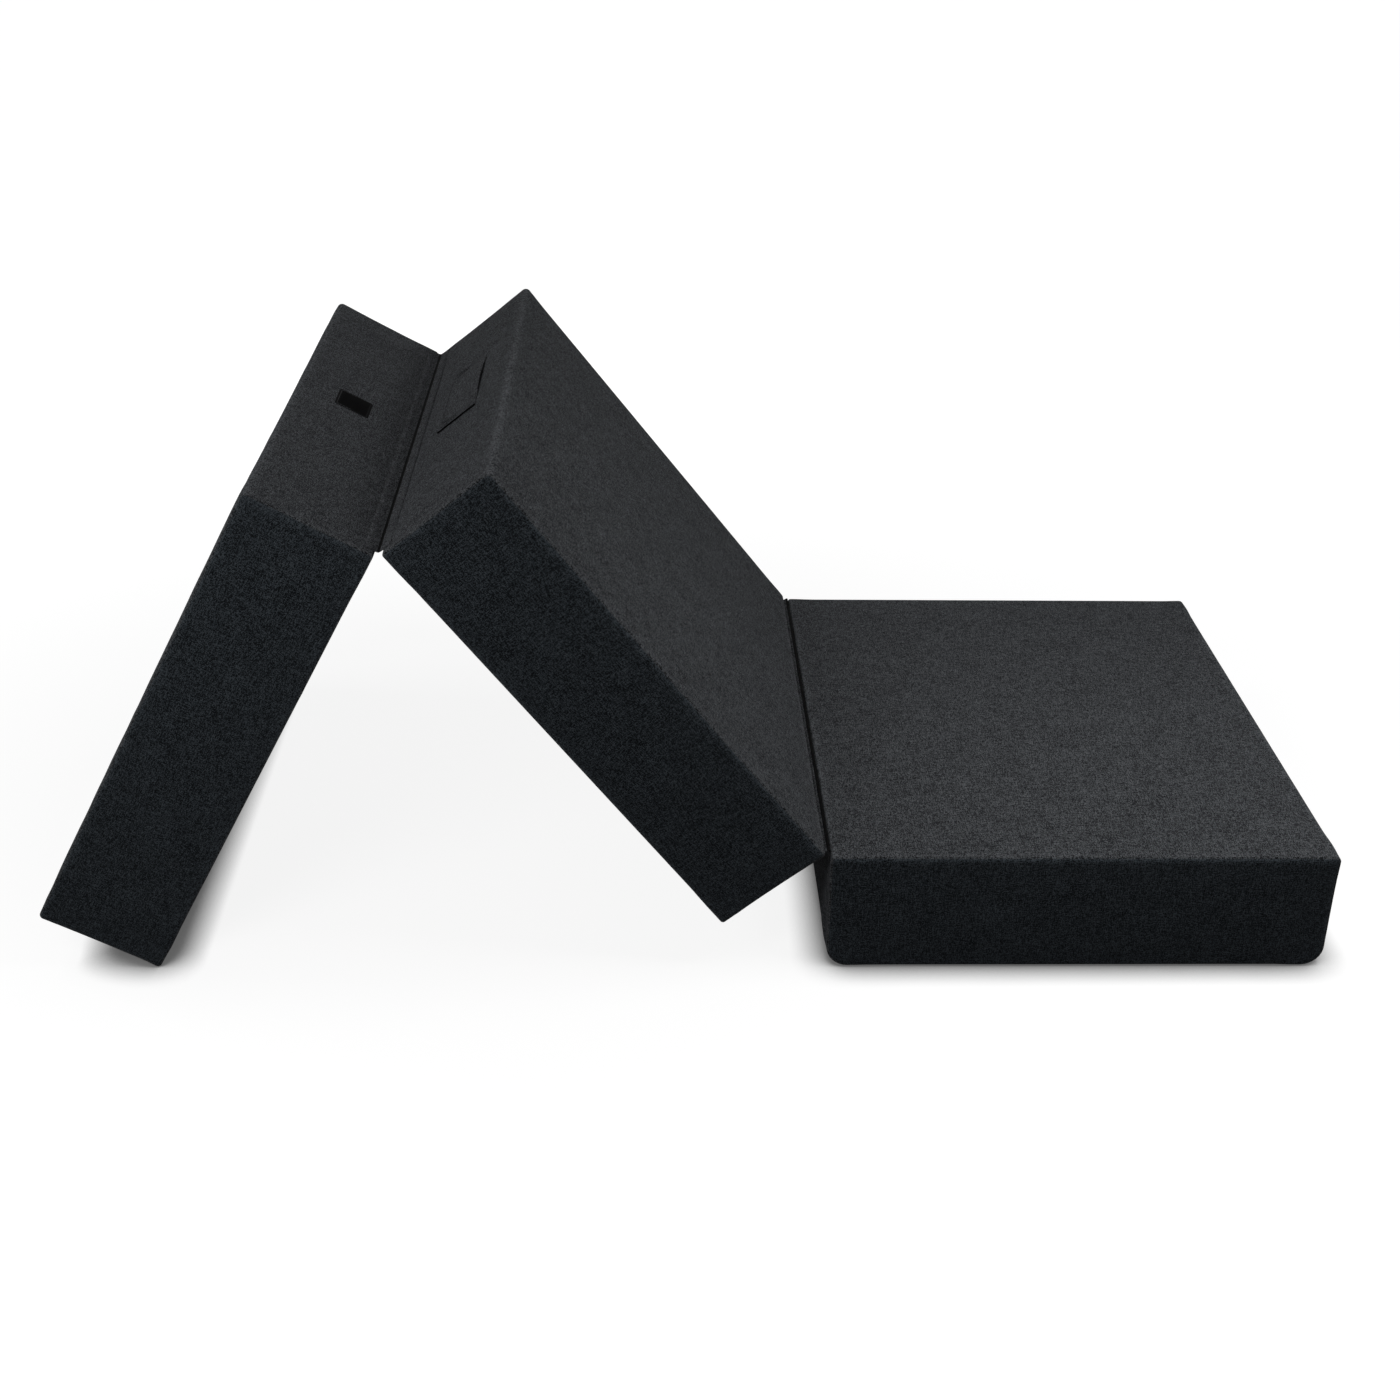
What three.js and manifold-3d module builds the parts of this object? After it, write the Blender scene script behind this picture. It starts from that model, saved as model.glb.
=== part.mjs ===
// Folding mattress: three foam panels in sewn fabric covers, joined by two fabric fold strips.
// It stands part opened in a zigzag: one panel lies flat and the other two lean together as a tent.
// Lengths are in millimetres and angles in degrees. +X runs along the bed, +Y to its back, +Z up.
// The origin is the middle of the lying panel's underside.
import * as THREE from "three";
import { mergeVertices } from "three/addons/utils/BufferGeometryUtils.js";
import Module from "manifold-3d";

const wasm = await Module();
wasm.setup();

// Panels, all alike in size
const panelLength = 630;
const panelWidth = 787;
const panelThickness = 160;
const fabricWall = 1.5;
const clearance = 0.3;

// Folds: the first joins the top edges of the base and the middle, the second the undersides of
// the middle and the end. Each pivot lies just clear of the crowned faces that close together.
const foldOneGap = 4;
const foldTwoGap = 5;
const topCrown = 2;
const underCrown = 1.5;
const pivotClearance = 0.3;
const middleLean = 51.3;

// Rounded corners of a panel's section
const restingRadius = 28;
const foldRadius = 4;
const ridgeRadius = 7;
const footRadius = 6;

// Side seams: the cover draws in to them, and each side border bulges out past them
const seamDraw = 4;
const seamRoll = 8;
const borderCrown = 5;
const borderRoll = 14;
const endCrown = 3;

// Foam layers
const supportHeight = 112;
const foamEdgeMargin = 1;

// Zip in the rear border of each panel
const zipEndMargin = 36;
const zipSlotHeight = 12;
const tapeThickness = 0.8;
const tapeOverlap = 9;
const coilWidth = 2.8;
const coilHeight = 2.2;
const coilOverhang = 1.6;
const sliderLength = 12;
const sliderPlate = 1.2;
const flangeWidth = 1;
const pullThickness = 1.2;
const pullLength = 26;

// Pieces sewn to the facing ends of the middle and end panels, placed from the second fold
const patchLength = 54;
const patchWidth = 47;
const patchThickness = 1.5;
const patchHeight = 85;
const patchShift = 22;
const handleLength = 240;
const handleWidth = 62;
const handleThickness = 2.2;
const handleHeight = 77;
const handleShift = 56;
const trimRadius = 4;

// Fold strips
const stripThickness = 0.9;
const stripFlap = 16;

// Faceting
const cornerSteps = 3;
const rollSteps = 3;
const faceShares = [-0.86, -0.5, 0, 0.5, 0.86];
const endShares = [-0.55, 0.55];
const acrossShares = [-0.84, -0.5, 0, 0.5, 0.84];
const leastRadius = 0.6;
const overrun = 20;

const quarterTurn = Math.PI / 2;
const radians = THREE.MathUtils.degToRad;

const material = (color, roughness, metalness = 0) =>
  new THREE.MeshStandardMaterial({ color, roughness, metalness });

const coverFabric = material(0x323335, 0.95);
const borderFabric = material(0x26292c, 0.95);
const supportFoam = material(0xe9e4d6, 0.9);
const comfortFoam = material(0xd7e3ea, 0.85);
const hookTape = material(0x0b0b0c, 0.8);
const zipTape = material(0x17181a, 0.9);
const zipNylon = material(0x1b1c1e, 0.45);
const zipMetal = material(0x202124, 0.4, 0.6);

function piece(name, geometry, finish) {
  geometry.computeVertexNormals();
  const mesh = new THREE.Mesh(geometry, finish);
  mesh.name = name;
  return mesh;
}

// Solids, for the pieces that are cut or joined

function toSolid(geometry) {
  const bare = geometry.clone();
  bare.deleteAttribute("normal");
  bare.deleteAttribute("uv");
  const merged = mergeVertices(bare);
  return new wasm.Manifold(
    new wasm.Mesh({
      numProp: 3,
      vertProperties: new Float32Array(merged.attributes.position.array),
      triVerts: new Uint32Array(merged.index.array),
    }),
  );
}

function toGeometry(solid) {
  const mesh = solid.getMesh();
  return new THREE.BufferGeometry()
    .setAttribute("position", new THREE.BufferAttribute(mesh.vertProperties, 3))
    .setIndex(new THREE.BufferAttribute(mesh.triVerts, 1));
}

const cut = (geometry, cutter) => toGeometry(toSolid(geometry).subtract(toSolid(cutter)));

const join = (geometries) =>
  toGeometry(geometries.map(toSolid).reduce((whole, next) => whole.add(next)));

// Extrusions: a flat shape drawn in X and Y, turned so that it runs along another axis

const extrude = (shape, depth) => new THREE.ExtrudeGeometry(shape, { depth, bevelEnabled: false });

// Rises along Y from `start`, with the shape's X kept and its Y turned to -Z.
const alongY = (shape, start, height) =>
  extrude(shape, height).rotateX(-quarterTurn).translate(0, start, 0);

// Spans Z evenly, with the shape's X and Y kept.
const acrossZ = (shape, width) => extrude(shape, width).translate(0, 0, -width / 2);

function outline(points) {
  return new THREE.Shape(points.map(([x, y]) => new THREE.Vector2(x, y)));
}

// A rectangle centred on the origin, with rounded corners.
function roundedRectangle(width, height, radius) {
  const shape = new THREE.Shape();
  for (const [signX, signY, quarter] of [[1, -1, 3], [1, 1, 0], [-1, 1, 1], [-1, -1, 2]]) {
    const x = signX * (width / 2 - radius);
    const y = signY * (height / 2 - radius);
    shape.absarc(x, y, radius, quarter * quarterTurn, (quarter + 1) * quarterTurn, false);
  }
  shape.closePath();
  return shape;
}

// Lofts: rings of equal numbers of points, that run round the section and follow each other along +Y

function loft(rings, looped) {
  const count = rings[0].length;
  const positions = rings.flat(2);
  const faces = [];
  const bands = looped ? rings.length : rings.length - 1;
  for (let ring = 0; ring < bands; ring++) {
    const here = ring * count;
    const there = ((ring + 1) % rings.length) * count;
    for (let i = 0; i < count; i++) {
      const next = (i + 1) % count;
      faces.push(here + i, there + i, here + next);
      faces.push(here + next, there + i, there + next);
    }
  }
  if (!looped) {
    capRing(positions, faces, rings[0], 0, false);
    capRing(positions, faces, rings.at(-1), (rings.length - 1) * count, true);
  }
  return new THREE.BufferGeometry()
    .setAttribute("position", new THREE.Float32BufferAttribute(positions, 3))
    .setIndex(faces);
}

// Closes a ring with a fan from its middle.
function capRing(positions, faces, ring, first, far) {
  const centre = positions.length / 3;
  for (let axis = 0; axis < 3; axis++) {
    positions.push(ring.reduce((sum, point) => sum + point[axis], 0) / ring.length);
  }
  for (let i = 0; i < ring.length; i++) {
    const next = first + ((i + 1) % ring.length);
    if (far) faces.push(centre, next, first + i);
    else faces.push(centre, first + i, next);
  }
}

// How far a crown has risen at a share of the way from the middle of a face to its edge.
const bulge = (share) => 1 - share ** 4;

// One ring of a panel's section: its rounded rectangle, drawn in by `inset` all round, at `y`.
// Faces and corners run from the underside round by the right end, the top and the left end.
function sectionRing(panel, y, inset, crowned) {
  const halfX = panelLength / 2 - inset;
  const halfZ = panelThickness / 2 - inset;
  const across = bulge((2 * y) / panelWidth);
  const arcs = panel.radii.map((cornerRadius, index) => {
    const radius = Math.max(cornerRadius - inset, leastRadius);
    const x = (index === 1 || index === 2 ? 1 : -1) * (halfX - radius);
    const z = panelThickness / 2 + (index > 1 ? 1 : -1) * (halfZ - radius);
    return Array.from({ length: cornerSteps + 1 }, (_, step) => {
      const angle = quarterTurn * (2 + index + step / cornerSteps);
      return [x + radius * Math.cos(angle), y, z + radius * Math.sin(angle)];
    });
  });
  return arcs.flatMap((arc, index) => {
    if (!crowned) return arc;
    const from = arc.at(-1);
    const to = arcs[(index + 1) % arcs.length][0];
    const outward = quarterTurn * (3 + index);
    const flats = (index % 2 ? endShares : faceShares).map((share) => {
      const along = (1 + share) / 2;
      const rise = panel.crowns[index] * bulge(share) * across;
      return [
        THREE.MathUtils.lerp(from[0], to[0], along) + rise * Math.cos(outward),
        y,
        THREE.MathUtils.lerp(from[2], to[2], along) + rise * Math.sin(outward),
      ];
    });
    return [...arc, ...flats];
  });
}

const mirrorRings = (rings) => rings.map((ring) => ring.map(([x, y, z]) => [x, -y, z])).reverse();

const seamY = -panelWidth / 2 + borderCrown;

// The cover: one sleeve of fabric round the top, ends and underside, open at the two side seams,
// where it rolls in over the edge of the foam.
function coverSleeve(panel) {
  const skin = (inset) => {
    const rolled = Array.from({ length: rollSteps + 1 }, (_, step) => {
      const angle = (quarterTurn * step) / rollSteps;
      const y = seamY + seamRoll * (1 - Math.cos(angle));
      return sectionRing(panel, y, inset + seamDraw * (1 - Math.sin(angle)), true);
    });
    const body = acrossShares.map((share) =>
      sectionRing(panel, (share * panelWidth) / 2, inset, true),
    );
    return [...rolled, ...body, ...mirrorRings(rolled)];
  };
  return loft([...skin(0), ...skin(fabricWall).reverse()], true);
}

// A side border: the fabric panel that closes the sleeve, sewn in round its edge and bulging out.
const borderInset = seamDraw + fabricWall + clearance;
const borderRollShares = [0, 0.14, 0.5, 1];

function sideBorder(panel, side) {
  const face = (offset) =>
    borderRollShares.map((share) => {
      const rise = borderCrown * Math.sqrt(1 - (1 - share) ** 2);
      return sectionRing(panel, seamY - rise + offset, borderInset + share * borderRoll, false);
    });
  const rings = [...face(0).reverse(), ...face(fabricWall)];
  return loft(side < 0 ? rings : mirrorRings(rings), false);
}

// The zip's own frame: X along the zip, Y out of the panel, Z across it, with the origin on the
// outer face of the tapes.
const zipOriginY = panelWidth / 2 - fabricWall - clearance;
const slotHalf = panelLength / 2 - zipEndMargin;
const sliderUnderside = -tapeThickness - clearance - sliderPlate;
const coilTop = clearance + coilHeight;
const sliderX = slotHalf - sliderLength / 2 - clearance;

function rearBorder(panel) {
  const slot = new THREE.BoxGeometry(2 * slotHalf, overrun, zipSlotHeight);
  return cut(sideBorder(panel, 1), slot.translate(0, panelWidth / 2, panelThickness / 2));
}

// Foam block inside the cover, drawn in with it at its four long side edges.
function foamBlock(panel) {
  const tight = fabricWall + clearance;
  const faceInset = borderInset + borderRoll + foamEdgeMargin;
  const edges = [
    [fabricWall + clearance, faceInset],
    [borderCrown + tight, seamDraw + tight],
    [borderCrown + seamRoll, tight],
  ];
  const front = edges.map(([depth, inset]) =>
    sectionRing(panel, -panelWidth / 2 + depth, inset, false),
  );
  const rear = mirrorRings(front);
  const rearFace = zipOriginY + sliderUnderside - clearance;
  rear[rear.length - 1] = rear.at(-1).map(([x, , z]) => [x, rearFace, z]);
  return loft([...front, ...rear], false);
}

// The half of the foam block below or above the joint between its layers.
function foamLayer(panel, upper) {
  const size = 2 * (panelLength + panelWidth);
  const cutter = new THREE.BoxGeometry(size, size, size);
  const z = upper ? supportHeight + clearance - size / 2 : supportHeight + size / 2;
  return cut(foamBlock(panel), cutter.translate(0, 0, z));
}

// Zip

const tapeInner = clearance + coilWidth - coilOverhang;
const tapeOuter = zipSlotHeight / 2 + tapeOverlap;
const zipHalfs = [
  ["upper", 1],
  ["lower", -1],
];

function zipTapeHalf(side) {
  const height = tapeOuter - tapeInner;
  const middle = (tapeOuter + tapeInner) / 2;
  const length = 2 * (slotHalf + tapeOverlap);
  return new THREE.BoxGeometry(length, tapeThickness, height).translate(
    0,
    -tapeThickness / 2,
    side * middle,
  );
}

// One row of the nylon coil: a round-backed rib along the edge of its tape.
const postLength = 3;
const postX = sliderX + sliderLength / 2 - postLength;
const coilStart = -slotHalf + clearance;
const coilLength = postX - postLength / 2 - clearance - coilStart;
const coilBaseShare = 0.35;

function coilRow(side) {
  const shape = new THREE.Shape();
  const shoulder = coilHeight * coilBaseShare;
  const left = side > 0 ? -clearance - coilWidth : clearance;
  shape.moveTo(left, clearance);
  shape.lineTo(left + coilWidth, clearance);
  shape.lineTo(left + coilWidth, clearance + shoulder);
  shape.absellipse(
    left + coilWidth / 2,
    clearance + shoulder,
    coilWidth / 2,
    coilHeight - shoulder,
    0,
    Math.PI,
    false,
  );
  shape.lineTo(left, clearance);
  const settings = { depth: coilLength, bevelEnabled: false, curveSegments: 5 };
  return new THREE.ExtrudeGeometry(shape, settings).rotateY(quarterTurn).translate(coilStart, 0, 0);
}

// Slider: two plates joined by a post between the rows, with a flange down each side and a bridge
// on top for the pull.
const sliderHalfWidth = clearance + coilWidth + clearance + flangeWidth;
const sliderTailShare = 0.93;
const postHalfWidth = 1.1;
const bridgeLength = 8;
const bridgeWidth = 2.4;
const bridgeWall = 1.1;
const plateTop = coilTop + clearance + sliderPlate;
const bridgeClear = pullThickness + 2 * clearance;
const pullY = plateTop + clearance + pullThickness / 2;

// The plates' outline narrows from the mouth towards the tail.
function sliderOutline() {
  const mouth = sliderHalfWidth;
  const tail = mouth * sliderTailShare;
  const front = sliderLength / 2;
  const shoulder = front - flangeWidth;
  return [
    [-shoulder, -tail],
    [shoulder, -mouth],
    [front, -mouth + flangeWidth],
    [front, mouth - flangeWidth],
    [shoulder, mouth],
    [-shoulder, tail],
    [-front, tail - flangeWidth],
    [-front, -tail + flangeWidth],
  ];
}

function slider() {
  const plate = outline(sliderOutline());
  const block = alongY(plate, clearance, plateTop - clearance);
  const channelTop = coilTop + clearance;
  const channelWidth = 2 * (sliderHalfWidth - flangeWidth);
  const channel = new THREE.BoxGeometry(2 * sliderLength, 2 * channelTop, channelWidth);
  const bottom = alongY(plate, sliderUnderside, sliderPlate);
  const post = new THREE.Shape();
  post.moveTo(-postLength / 2, 0);
  post.lineTo(0, -postHalfWidth);
  post.lineTo(postLength / 2, 0);
  post.lineTo(0, postHalfWidth);
  const postHeight = plateTop - sliderUnderside - sliderPlate;
  const wedge = alongY(post, sliderUnderside + sliderPlate / 2, postHeight);
  wedge.translate(postX - sliderX, 0, 0);
  return join([cut(block, channel), bottom, wedge, bridge()]);
}

// The bridge's side view: a low arch on two legs.
function bridge() {
  const foot = plateTop - sliderPlate / 2;
  const under = plateTop + bridgeClear;
  const top = under + bridgeWall;
  const half = bridgeLength / 2;
  const arch = outline([
    [-half, foot],
    [-half + bridgeWall, foot],
    [-half + bridgeWall, under],
    [half - bridgeWall, under],
    [half - bridgeWall, foot],
    [half, foot],
    [half, top - bridgeWall],
    [half - bridgeWall, top],
    [-half + bridgeWall, top],
    [-half, top - bridgeWall],
  ]);
  return acrossZ(arch, bridgeWidth);
}

// Pull: a tapered leaf with an eye, whose end bar lies under the bridge and is its pivot.
const eyeBar = 1.2;
const eyeHalfWidth = bridgeWidth / 2 + 2 * clearance;
const pullHalfWidth = 3.6;
const pullWaistShare = 0.8;
const eyeReach = bridgeLength / 2 + 2 * bridgeWall;

function pull() {
  const tip = pullLength - eyeBar;
  const waist = pullHalfWidth * pullWaistShare;
  const neck = eyeReach + bridgeWall;
  const leaf = new THREE.Shape();
  leaf.moveTo(-eyeBar / 2, -waist);
  leaf.lineTo(neck, -waist);
  leaf.lineTo(tip - pullHalfWidth, -pullHalfWidth);
  leaf.absarc(tip - pullHalfWidth, 0, pullHalfWidth, -quarterTurn, quarterTurn, false);
  leaf.lineTo(neck, waist);
  leaf.lineTo(-eyeBar / 2, waist);
  leaf.closePath();
  leaf.holes.push(
    outline([
      [eyeBar / 2, -eyeHalfWidth],
      [eyeBar / 2, eyeHalfWidth],
      [eyeReach, eyeHalfWidth],
      [eyeReach, -eyeHalfWidth],
    ]),
  );
  const settings = { depth: pullThickness, bevelEnabled: false, curveSegments: 8 };
  const body = new THREE.ExtrudeGeometry(leaf, settings).rotateX(-quarterTurn);
  return body.translate(0, -pullThickness / 2, 0);
}

// The zip lies along the middle of the rear border, with its slider closed against the end of the
// slot on the side that `closesTo` names: 1 is the panel's right end and -1 its left.
function zip(panel) {
  const group = new THREE.Group();
  group.position.set(0, zipOriginY, panelThickness / 2);
  group.rotation.y = panel.closesTo > 0 ? 0 : Math.PI;
  for (const [half, side] of zipHalfs) {
    const turned = side * panel.closesTo;
    group.add(piece(`${panel.name}_zip_tape_${half}`, zipTapeHalf(turned), zipTape));
    group.add(piece(`${panel.name}_zip_coil_${half}`, coilRow(turned), zipNylon));
  }
  const runner = piece(`${panel.name}_zip_slider`, slider(), zipMetal);
  runner.position.x = sliderX;
  const tab = piece(`${panel.name}_zip_pull`, pull(), zipMetal);
  tab.position.set(sliderX, pullY, 0);
  group.add(runner, tab);
  return group;
}

// Fold strips: a strap of cover fabric with one flap sewn to each facing end, looped over the pivot

// The strip in section, in a frame at the pivot whose -Y runs down the middle of the opening.
function stripSection(gap, opening) {
  const centreRadius = gap / 2 - clearance - stripThickness / 2;
  const lean = radians(opening) / 2;
  const loopSteps = 6;
  const side = (radius) => {
    const loop = Array.from({ length: loopSteps + 1 }, (_, step) => {
      const angle = lean + ((Math.PI - 2 * lean) * step) / loopSteps;
      return [radius * Math.cos(angle), radius * Math.sin(angle)];
    });
    const flap = (point, way) => [
      point[0] + way * stripFlap * Math.sin(lean),
      point[1] - stripFlap * Math.cos(lean),
    ];
    return [flap(loop[0], 1), ...loop, flap(loop.at(-1), -1)];
  };
  const outer = side(centreRadius + stripThickness / 2);
  const inner = side(centreRadius - stripThickness / 2);
  return outline([...outer, ...inner.reverse()]);
}

function foldStrip(name, gap, opening) {
  const length = panelWidth - 2 * (borderCrown + seamRoll);
  const shape = stripSection(gap, opening);
  const geometry = extrude(shape, length).rotateX(quarterTurn).translate(0, length / 2, 0);
  return piece(name, geometry, coverFabric);
}

// Sewn-on trim, lying flat on a panel's end face: `facing` is 1 on the right end and -1 on the left.
function endTrim(name, size, height, shift, facing, finish) {
  const shape = roundedRectangle(size.width, size.length, trimRadius);
  const geometry = extrude(shape, size.thickness).rotateY(-quarterTurn);
  const mesh = piece(name, geometry, finish);
  mesh.position.set(facing * (panelLength / 2 + clearance), shift, height);
  mesh.rotation.y = facing > 0 ? Math.PI : 0;
  return mesh;
}

// Assembly

function panelAssembly(panel) {
  const group = new THREE.Group();
  group.add(
    piece(`${panel.name}_support_foam`, foamLayer(panel, false), supportFoam),
    piece(`${panel.name}_comfort_foam`, foamLayer(panel, true), comfortFoam),
    piece(`${panel.name}_cover`, coverSleeve(panel), coverFabric),
    piece(`${panel.name}_front_border`, sideBorder(panel, -1), borderFabric),
    piece(`${panel.name}_rear_border`, rearBorder(panel), borderFabric),
    zip(panel),
  );
  return group;
}

// Corner radii run from the lower left round by the lower right, the upper right and the upper
// left. Crowns run from the underside round by the right end, the top and the left end.
const base = {
  name: "base",
  radii: [restingRadius, restingRadius, ridgeRadius, foldRadius],
  crowns: [0, endCrown, topCrown, 0],
  closesTo: 1,
};
const middle = {
  name: "middle",
  radii: [foldRadius, foldRadius, foldRadius, ridgeRadius],
  crowns: [underCrown, 0, topCrown, 0],
  closesTo: 1,
};
const end = {
  name: "end",
  radii: [footRadius, foldRadius, ridgeRadius, footRadius],
  crowns: [underCrown, 0, topCrown, endCrown],
  closesTo: -1,
};

// Each pivot's height over the faces that close together
const foldOneRise = topCrown + pivotClearance;
const foldTwoRise = underCrown + pivotClearance;

// The end panel leans down from the second pivot until its rounded lower corner meets the floor.
function leanOfEnd() {
  const lean = radians(middleLean);
  const down = foldOneRise + panelThickness + foldTwoRise;
  const along = (foldOneGap + foldTwoGap) / 2 + panelLength;
  const first = panelThickness + foldOneRise;
  const second = first + along * Math.sin(lean) - down * Math.cos(lean);
  const reach = foldTwoGap / 2 + panelLength - footRadius;
  const offset = foldTwoRise + footRadius;
  const swing = Math.asin((second - footRadius) / Math.hypot(reach, offset));
  return THREE.MathUtils.radToDeg(swing + Math.atan2(offset, reach));
}

const foldTwoOpening = middleLean + leanOfEnd();

function foldingMattress() {
  const mattress = new THREE.Group();
  mattress.add(panelAssembly(base));

  const foldOne = new THREE.Group();
  foldOne.position.set(-(panelLength + foldOneGap) / 2, 0, panelThickness + foldOneRise);
  const stripOne = foldStrip("fold_one_strip", foldOneGap, middleLean);
  stripOne.rotation.y = radians(middleLean) / 2;
  const middleTurn = new THREE.Group();
  middleTurn.rotation.y = radians(middleLean);
  foldOne.add(stripOne, middleTurn);

  const middlePanel = panelAssembly(middle);
  const sewnHandle = { length: handleLength, width: handleWidth, thickness: handleThickness };
  const handleMesh = endTrim(
    "carry_handle", sewnHandle, handleHeight, handleShift, -1, coverFabric,
  );
  middlePanel.add(handleMesh);
  middlePanel.position.set(-(panelLength + foldOneGap) / 2, 0, -panelThickness - foldOneRise);
  middleTurn.add(middlePanel);

  const foldTwo = new THREE.Group();
  foldTwo.position.set(-(panelLength + foldTwoGap) / 2, 0, -foldTwoRise);
  middlePanel.add(foldTwo);
  const stripTwo = foldStrip("fold_two_strip", foldTwoGap, foldTwoOpening);
  stripTwo.rotation.set(0, Math.PI - radians(foldTwoOpening) / 2, 0);
  const endTurn = new THREE.Group();
  endTurn.rotation.y = -radians(foldTwoOpening);
  foldTwo.add(stripTwo, endTurn);

  const endPanel = panelAssembly(end);
  const sewnPatch = { length: patchLength, width: patchWidth, thickness: patchThickness };
  endPanel.add(endTrim("hook_patch", sewnPatch, patchHeight, patchShift, 1, hookTape));
  endPanel.position.set(-(panelLength + foldTwoGap) / 2, 0, foldTwoRise);
  endTurn.add(endPanel);

  foldOne.name = "fold_one";
  foldTwo.name = "fold_two";
  mattress.add(foldOne);
  return mattress;
}

export default foldingMattress();
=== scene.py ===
"""Looks of the folding mattress: simulated fabric covers, zips, handle, hook patch and foam."""

import math

import bpy
import numpy as np
from mathutils import Matrix, Vector, noise
from mathutils.kdtree import KDTree


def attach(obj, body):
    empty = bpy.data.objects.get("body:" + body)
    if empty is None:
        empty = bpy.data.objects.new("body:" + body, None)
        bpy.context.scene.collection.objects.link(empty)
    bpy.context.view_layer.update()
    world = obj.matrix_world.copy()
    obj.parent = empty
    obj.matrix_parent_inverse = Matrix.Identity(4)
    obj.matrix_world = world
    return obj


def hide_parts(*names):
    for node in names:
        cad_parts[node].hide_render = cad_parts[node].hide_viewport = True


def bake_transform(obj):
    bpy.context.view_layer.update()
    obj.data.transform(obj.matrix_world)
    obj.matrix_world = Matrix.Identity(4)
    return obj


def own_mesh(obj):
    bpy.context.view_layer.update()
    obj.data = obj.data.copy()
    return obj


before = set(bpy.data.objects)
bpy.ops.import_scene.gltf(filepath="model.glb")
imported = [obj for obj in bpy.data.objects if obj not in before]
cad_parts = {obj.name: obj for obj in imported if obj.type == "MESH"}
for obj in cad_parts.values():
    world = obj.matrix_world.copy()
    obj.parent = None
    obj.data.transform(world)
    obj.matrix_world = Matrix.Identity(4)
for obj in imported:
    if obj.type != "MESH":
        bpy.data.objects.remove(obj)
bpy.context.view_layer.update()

# Sizes of the CAD part, in metres
PANEL_LENGTH = 0.630
PANEL_WIDTH = 0.787
PANEL_THICKNESS = 0.160
FABRIC_WALL = 0.0015
CLEARANCE = 0.0003
FOLD_ONE_GAP, FOLD_ONE_RISE = 0.004, 0.0023
FOLD_TWO_GAP, FOLD_TWO_RISE = 0.005, 0.0018
MIDDLE_LEAN = math.radians(51.3)
FOLD_TWO_OPENING = math.radians(113.181)
ZIP_MARGIN = 0.036
ZIP_SLOT = 0.012
LEAST_RADIUS = 0.0006

HALF_LENGTH = PANEL_LENGTH / 2
HALF_WIDTH = PANEL_WIDTH / 2
HALF_THICKNESS = PANEL_THICKNESS / 2
SLOT_HALF = HALF_LENGTH - ZIP_MARGIN
CROWN_POWER = 4


class Panel:
    """Its corner radii run from the lower left round by the lower right, the upper right and the
    upper left. Its crowns run from the underside round by the right end, the top and the left
    end. Facing lists each long face that folds onto another: its height, its direction and its
    half gap. Closes_to is the end, 1 or -1 in the panel's X, where its zip is closed."""

    cloth = None

    def __init__(self, name, radii, crowns, facing, closes_to, to_world):
        self.name, self.radii, self.crowns = name, radii, crowns
        self.facing, self.closes_to, self.to_world = facing, closes_to, to_world


def xyz(x, y, z):
    """Points from their coordinates, each an array or one number for all."""
    return np.stack(np.broadcast_arrays(x, y, z), -1)


def transformed(matrix, points):
    turn = np.array(matrix)
    return points @ turn[:3, :3].T + turn[:3, 3]


def turned(angle):
    return Matrix.Rotation(angle, 4, "Y")


def shifted(x, y, z):
    return Matrix.Translation((x, y, z))


def rectangle(half_u, half_v):
    return [(-half_u, -half_v), (half_u, -half_v), (half_u, half_v), (-half_u, half_v)]


def waves(points, rate, shift=(0, 0, 0)):
    """Smooth noise at each point, of `rate` waves per metre."""
    return np.array([noise.noise(Vector(place)) for place in np.asarray(points) * rate + shift])


def folded_from(to_world, gap, height, angle):
    """Pivot of a fold at a panel's left end, and the placement of the panel beyond it."""
    reach = -(PANEL_LENGTH + gap) / 2
    pivot = to_world @ shifted(reach, 0, height)
    return pivot, pivot @ turned(angle) @ shifted(reach, 0, -height)


fold_one_pivot, middle_to_world = folded_from(
    Matrix.Identity(4), FOLD_ONE_GAP, PANEL_THICKNESS + FOLD_ONE_RISE, MIDDLE_LEAN
)
fold_two_pivot, end_to_world = folded_from(
    middle_to_world, FOLD_TWO_GAP, -FOLD_TWO_RISE, -FOLD_TWO_OPENING
)

top_face, under_face = (PANEL_THICKNESS, 1, FOLD_ONE_RISE), (0, -1, FOLD_TWO_RISE)
base = Panel(
    "base", (0.028, 0.028, 0.007, 0.004), (0, 0.003, 0.002, 0), (top_face,), 1, Matrix.Identity(4)
)
middle = Panel(
    "middle", (0.004, 0.004, 0.004, 0.007), (0.0015, 0, 0.002, 0), (top_face, under_face), 1,
    middle_to_world,
)
end = Panel(
    "end", (0.006, 0.004, 0.007, 0.006), (0.0015, 0, 0.002, 0.003), (under_face,), -1, end_to_world
)
panels = (base, middle, end)


def linked(name, data):
    made = bpy.data.objects.new(name, data)
    bpy.context.scene.collection.objects.link(made)
    return made


# Camera, placed by the photograph's corners

CAMERA_AT = (-0.5506, -2.3937, 1.386)
CAMERA_PITCH = math.radians(26.788)
CAMERA_YAW = math.radians(-2.071)
CAMERA_ROLL = math.radians(1.097)
CAMERA_LENS = 49.61
SENSOR = 36.0

camera_data = bpy.data.cameras.new("camera")
camera_data.lens = CAMERA_LENS
camera_data.sensor_width = SENSOR
camera = linked("camera", camera_data)
camera.matrix_world = (
    Matrix.Translation(CAMERA_AT)
    @ Matrix.Rotation(CAMERA_YAW, 4, "Z")
    @ Matrix.Rotation(math.pi / 2 - CAMERA_PITCH, 4, "X")
    @ Matrix.Rotation(CAMERA_ROLL, 4, "Z")
)
bpy.context.scene.camera = camera
bpy.context.scene.view_settings.view_transform = "Standard"


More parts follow.
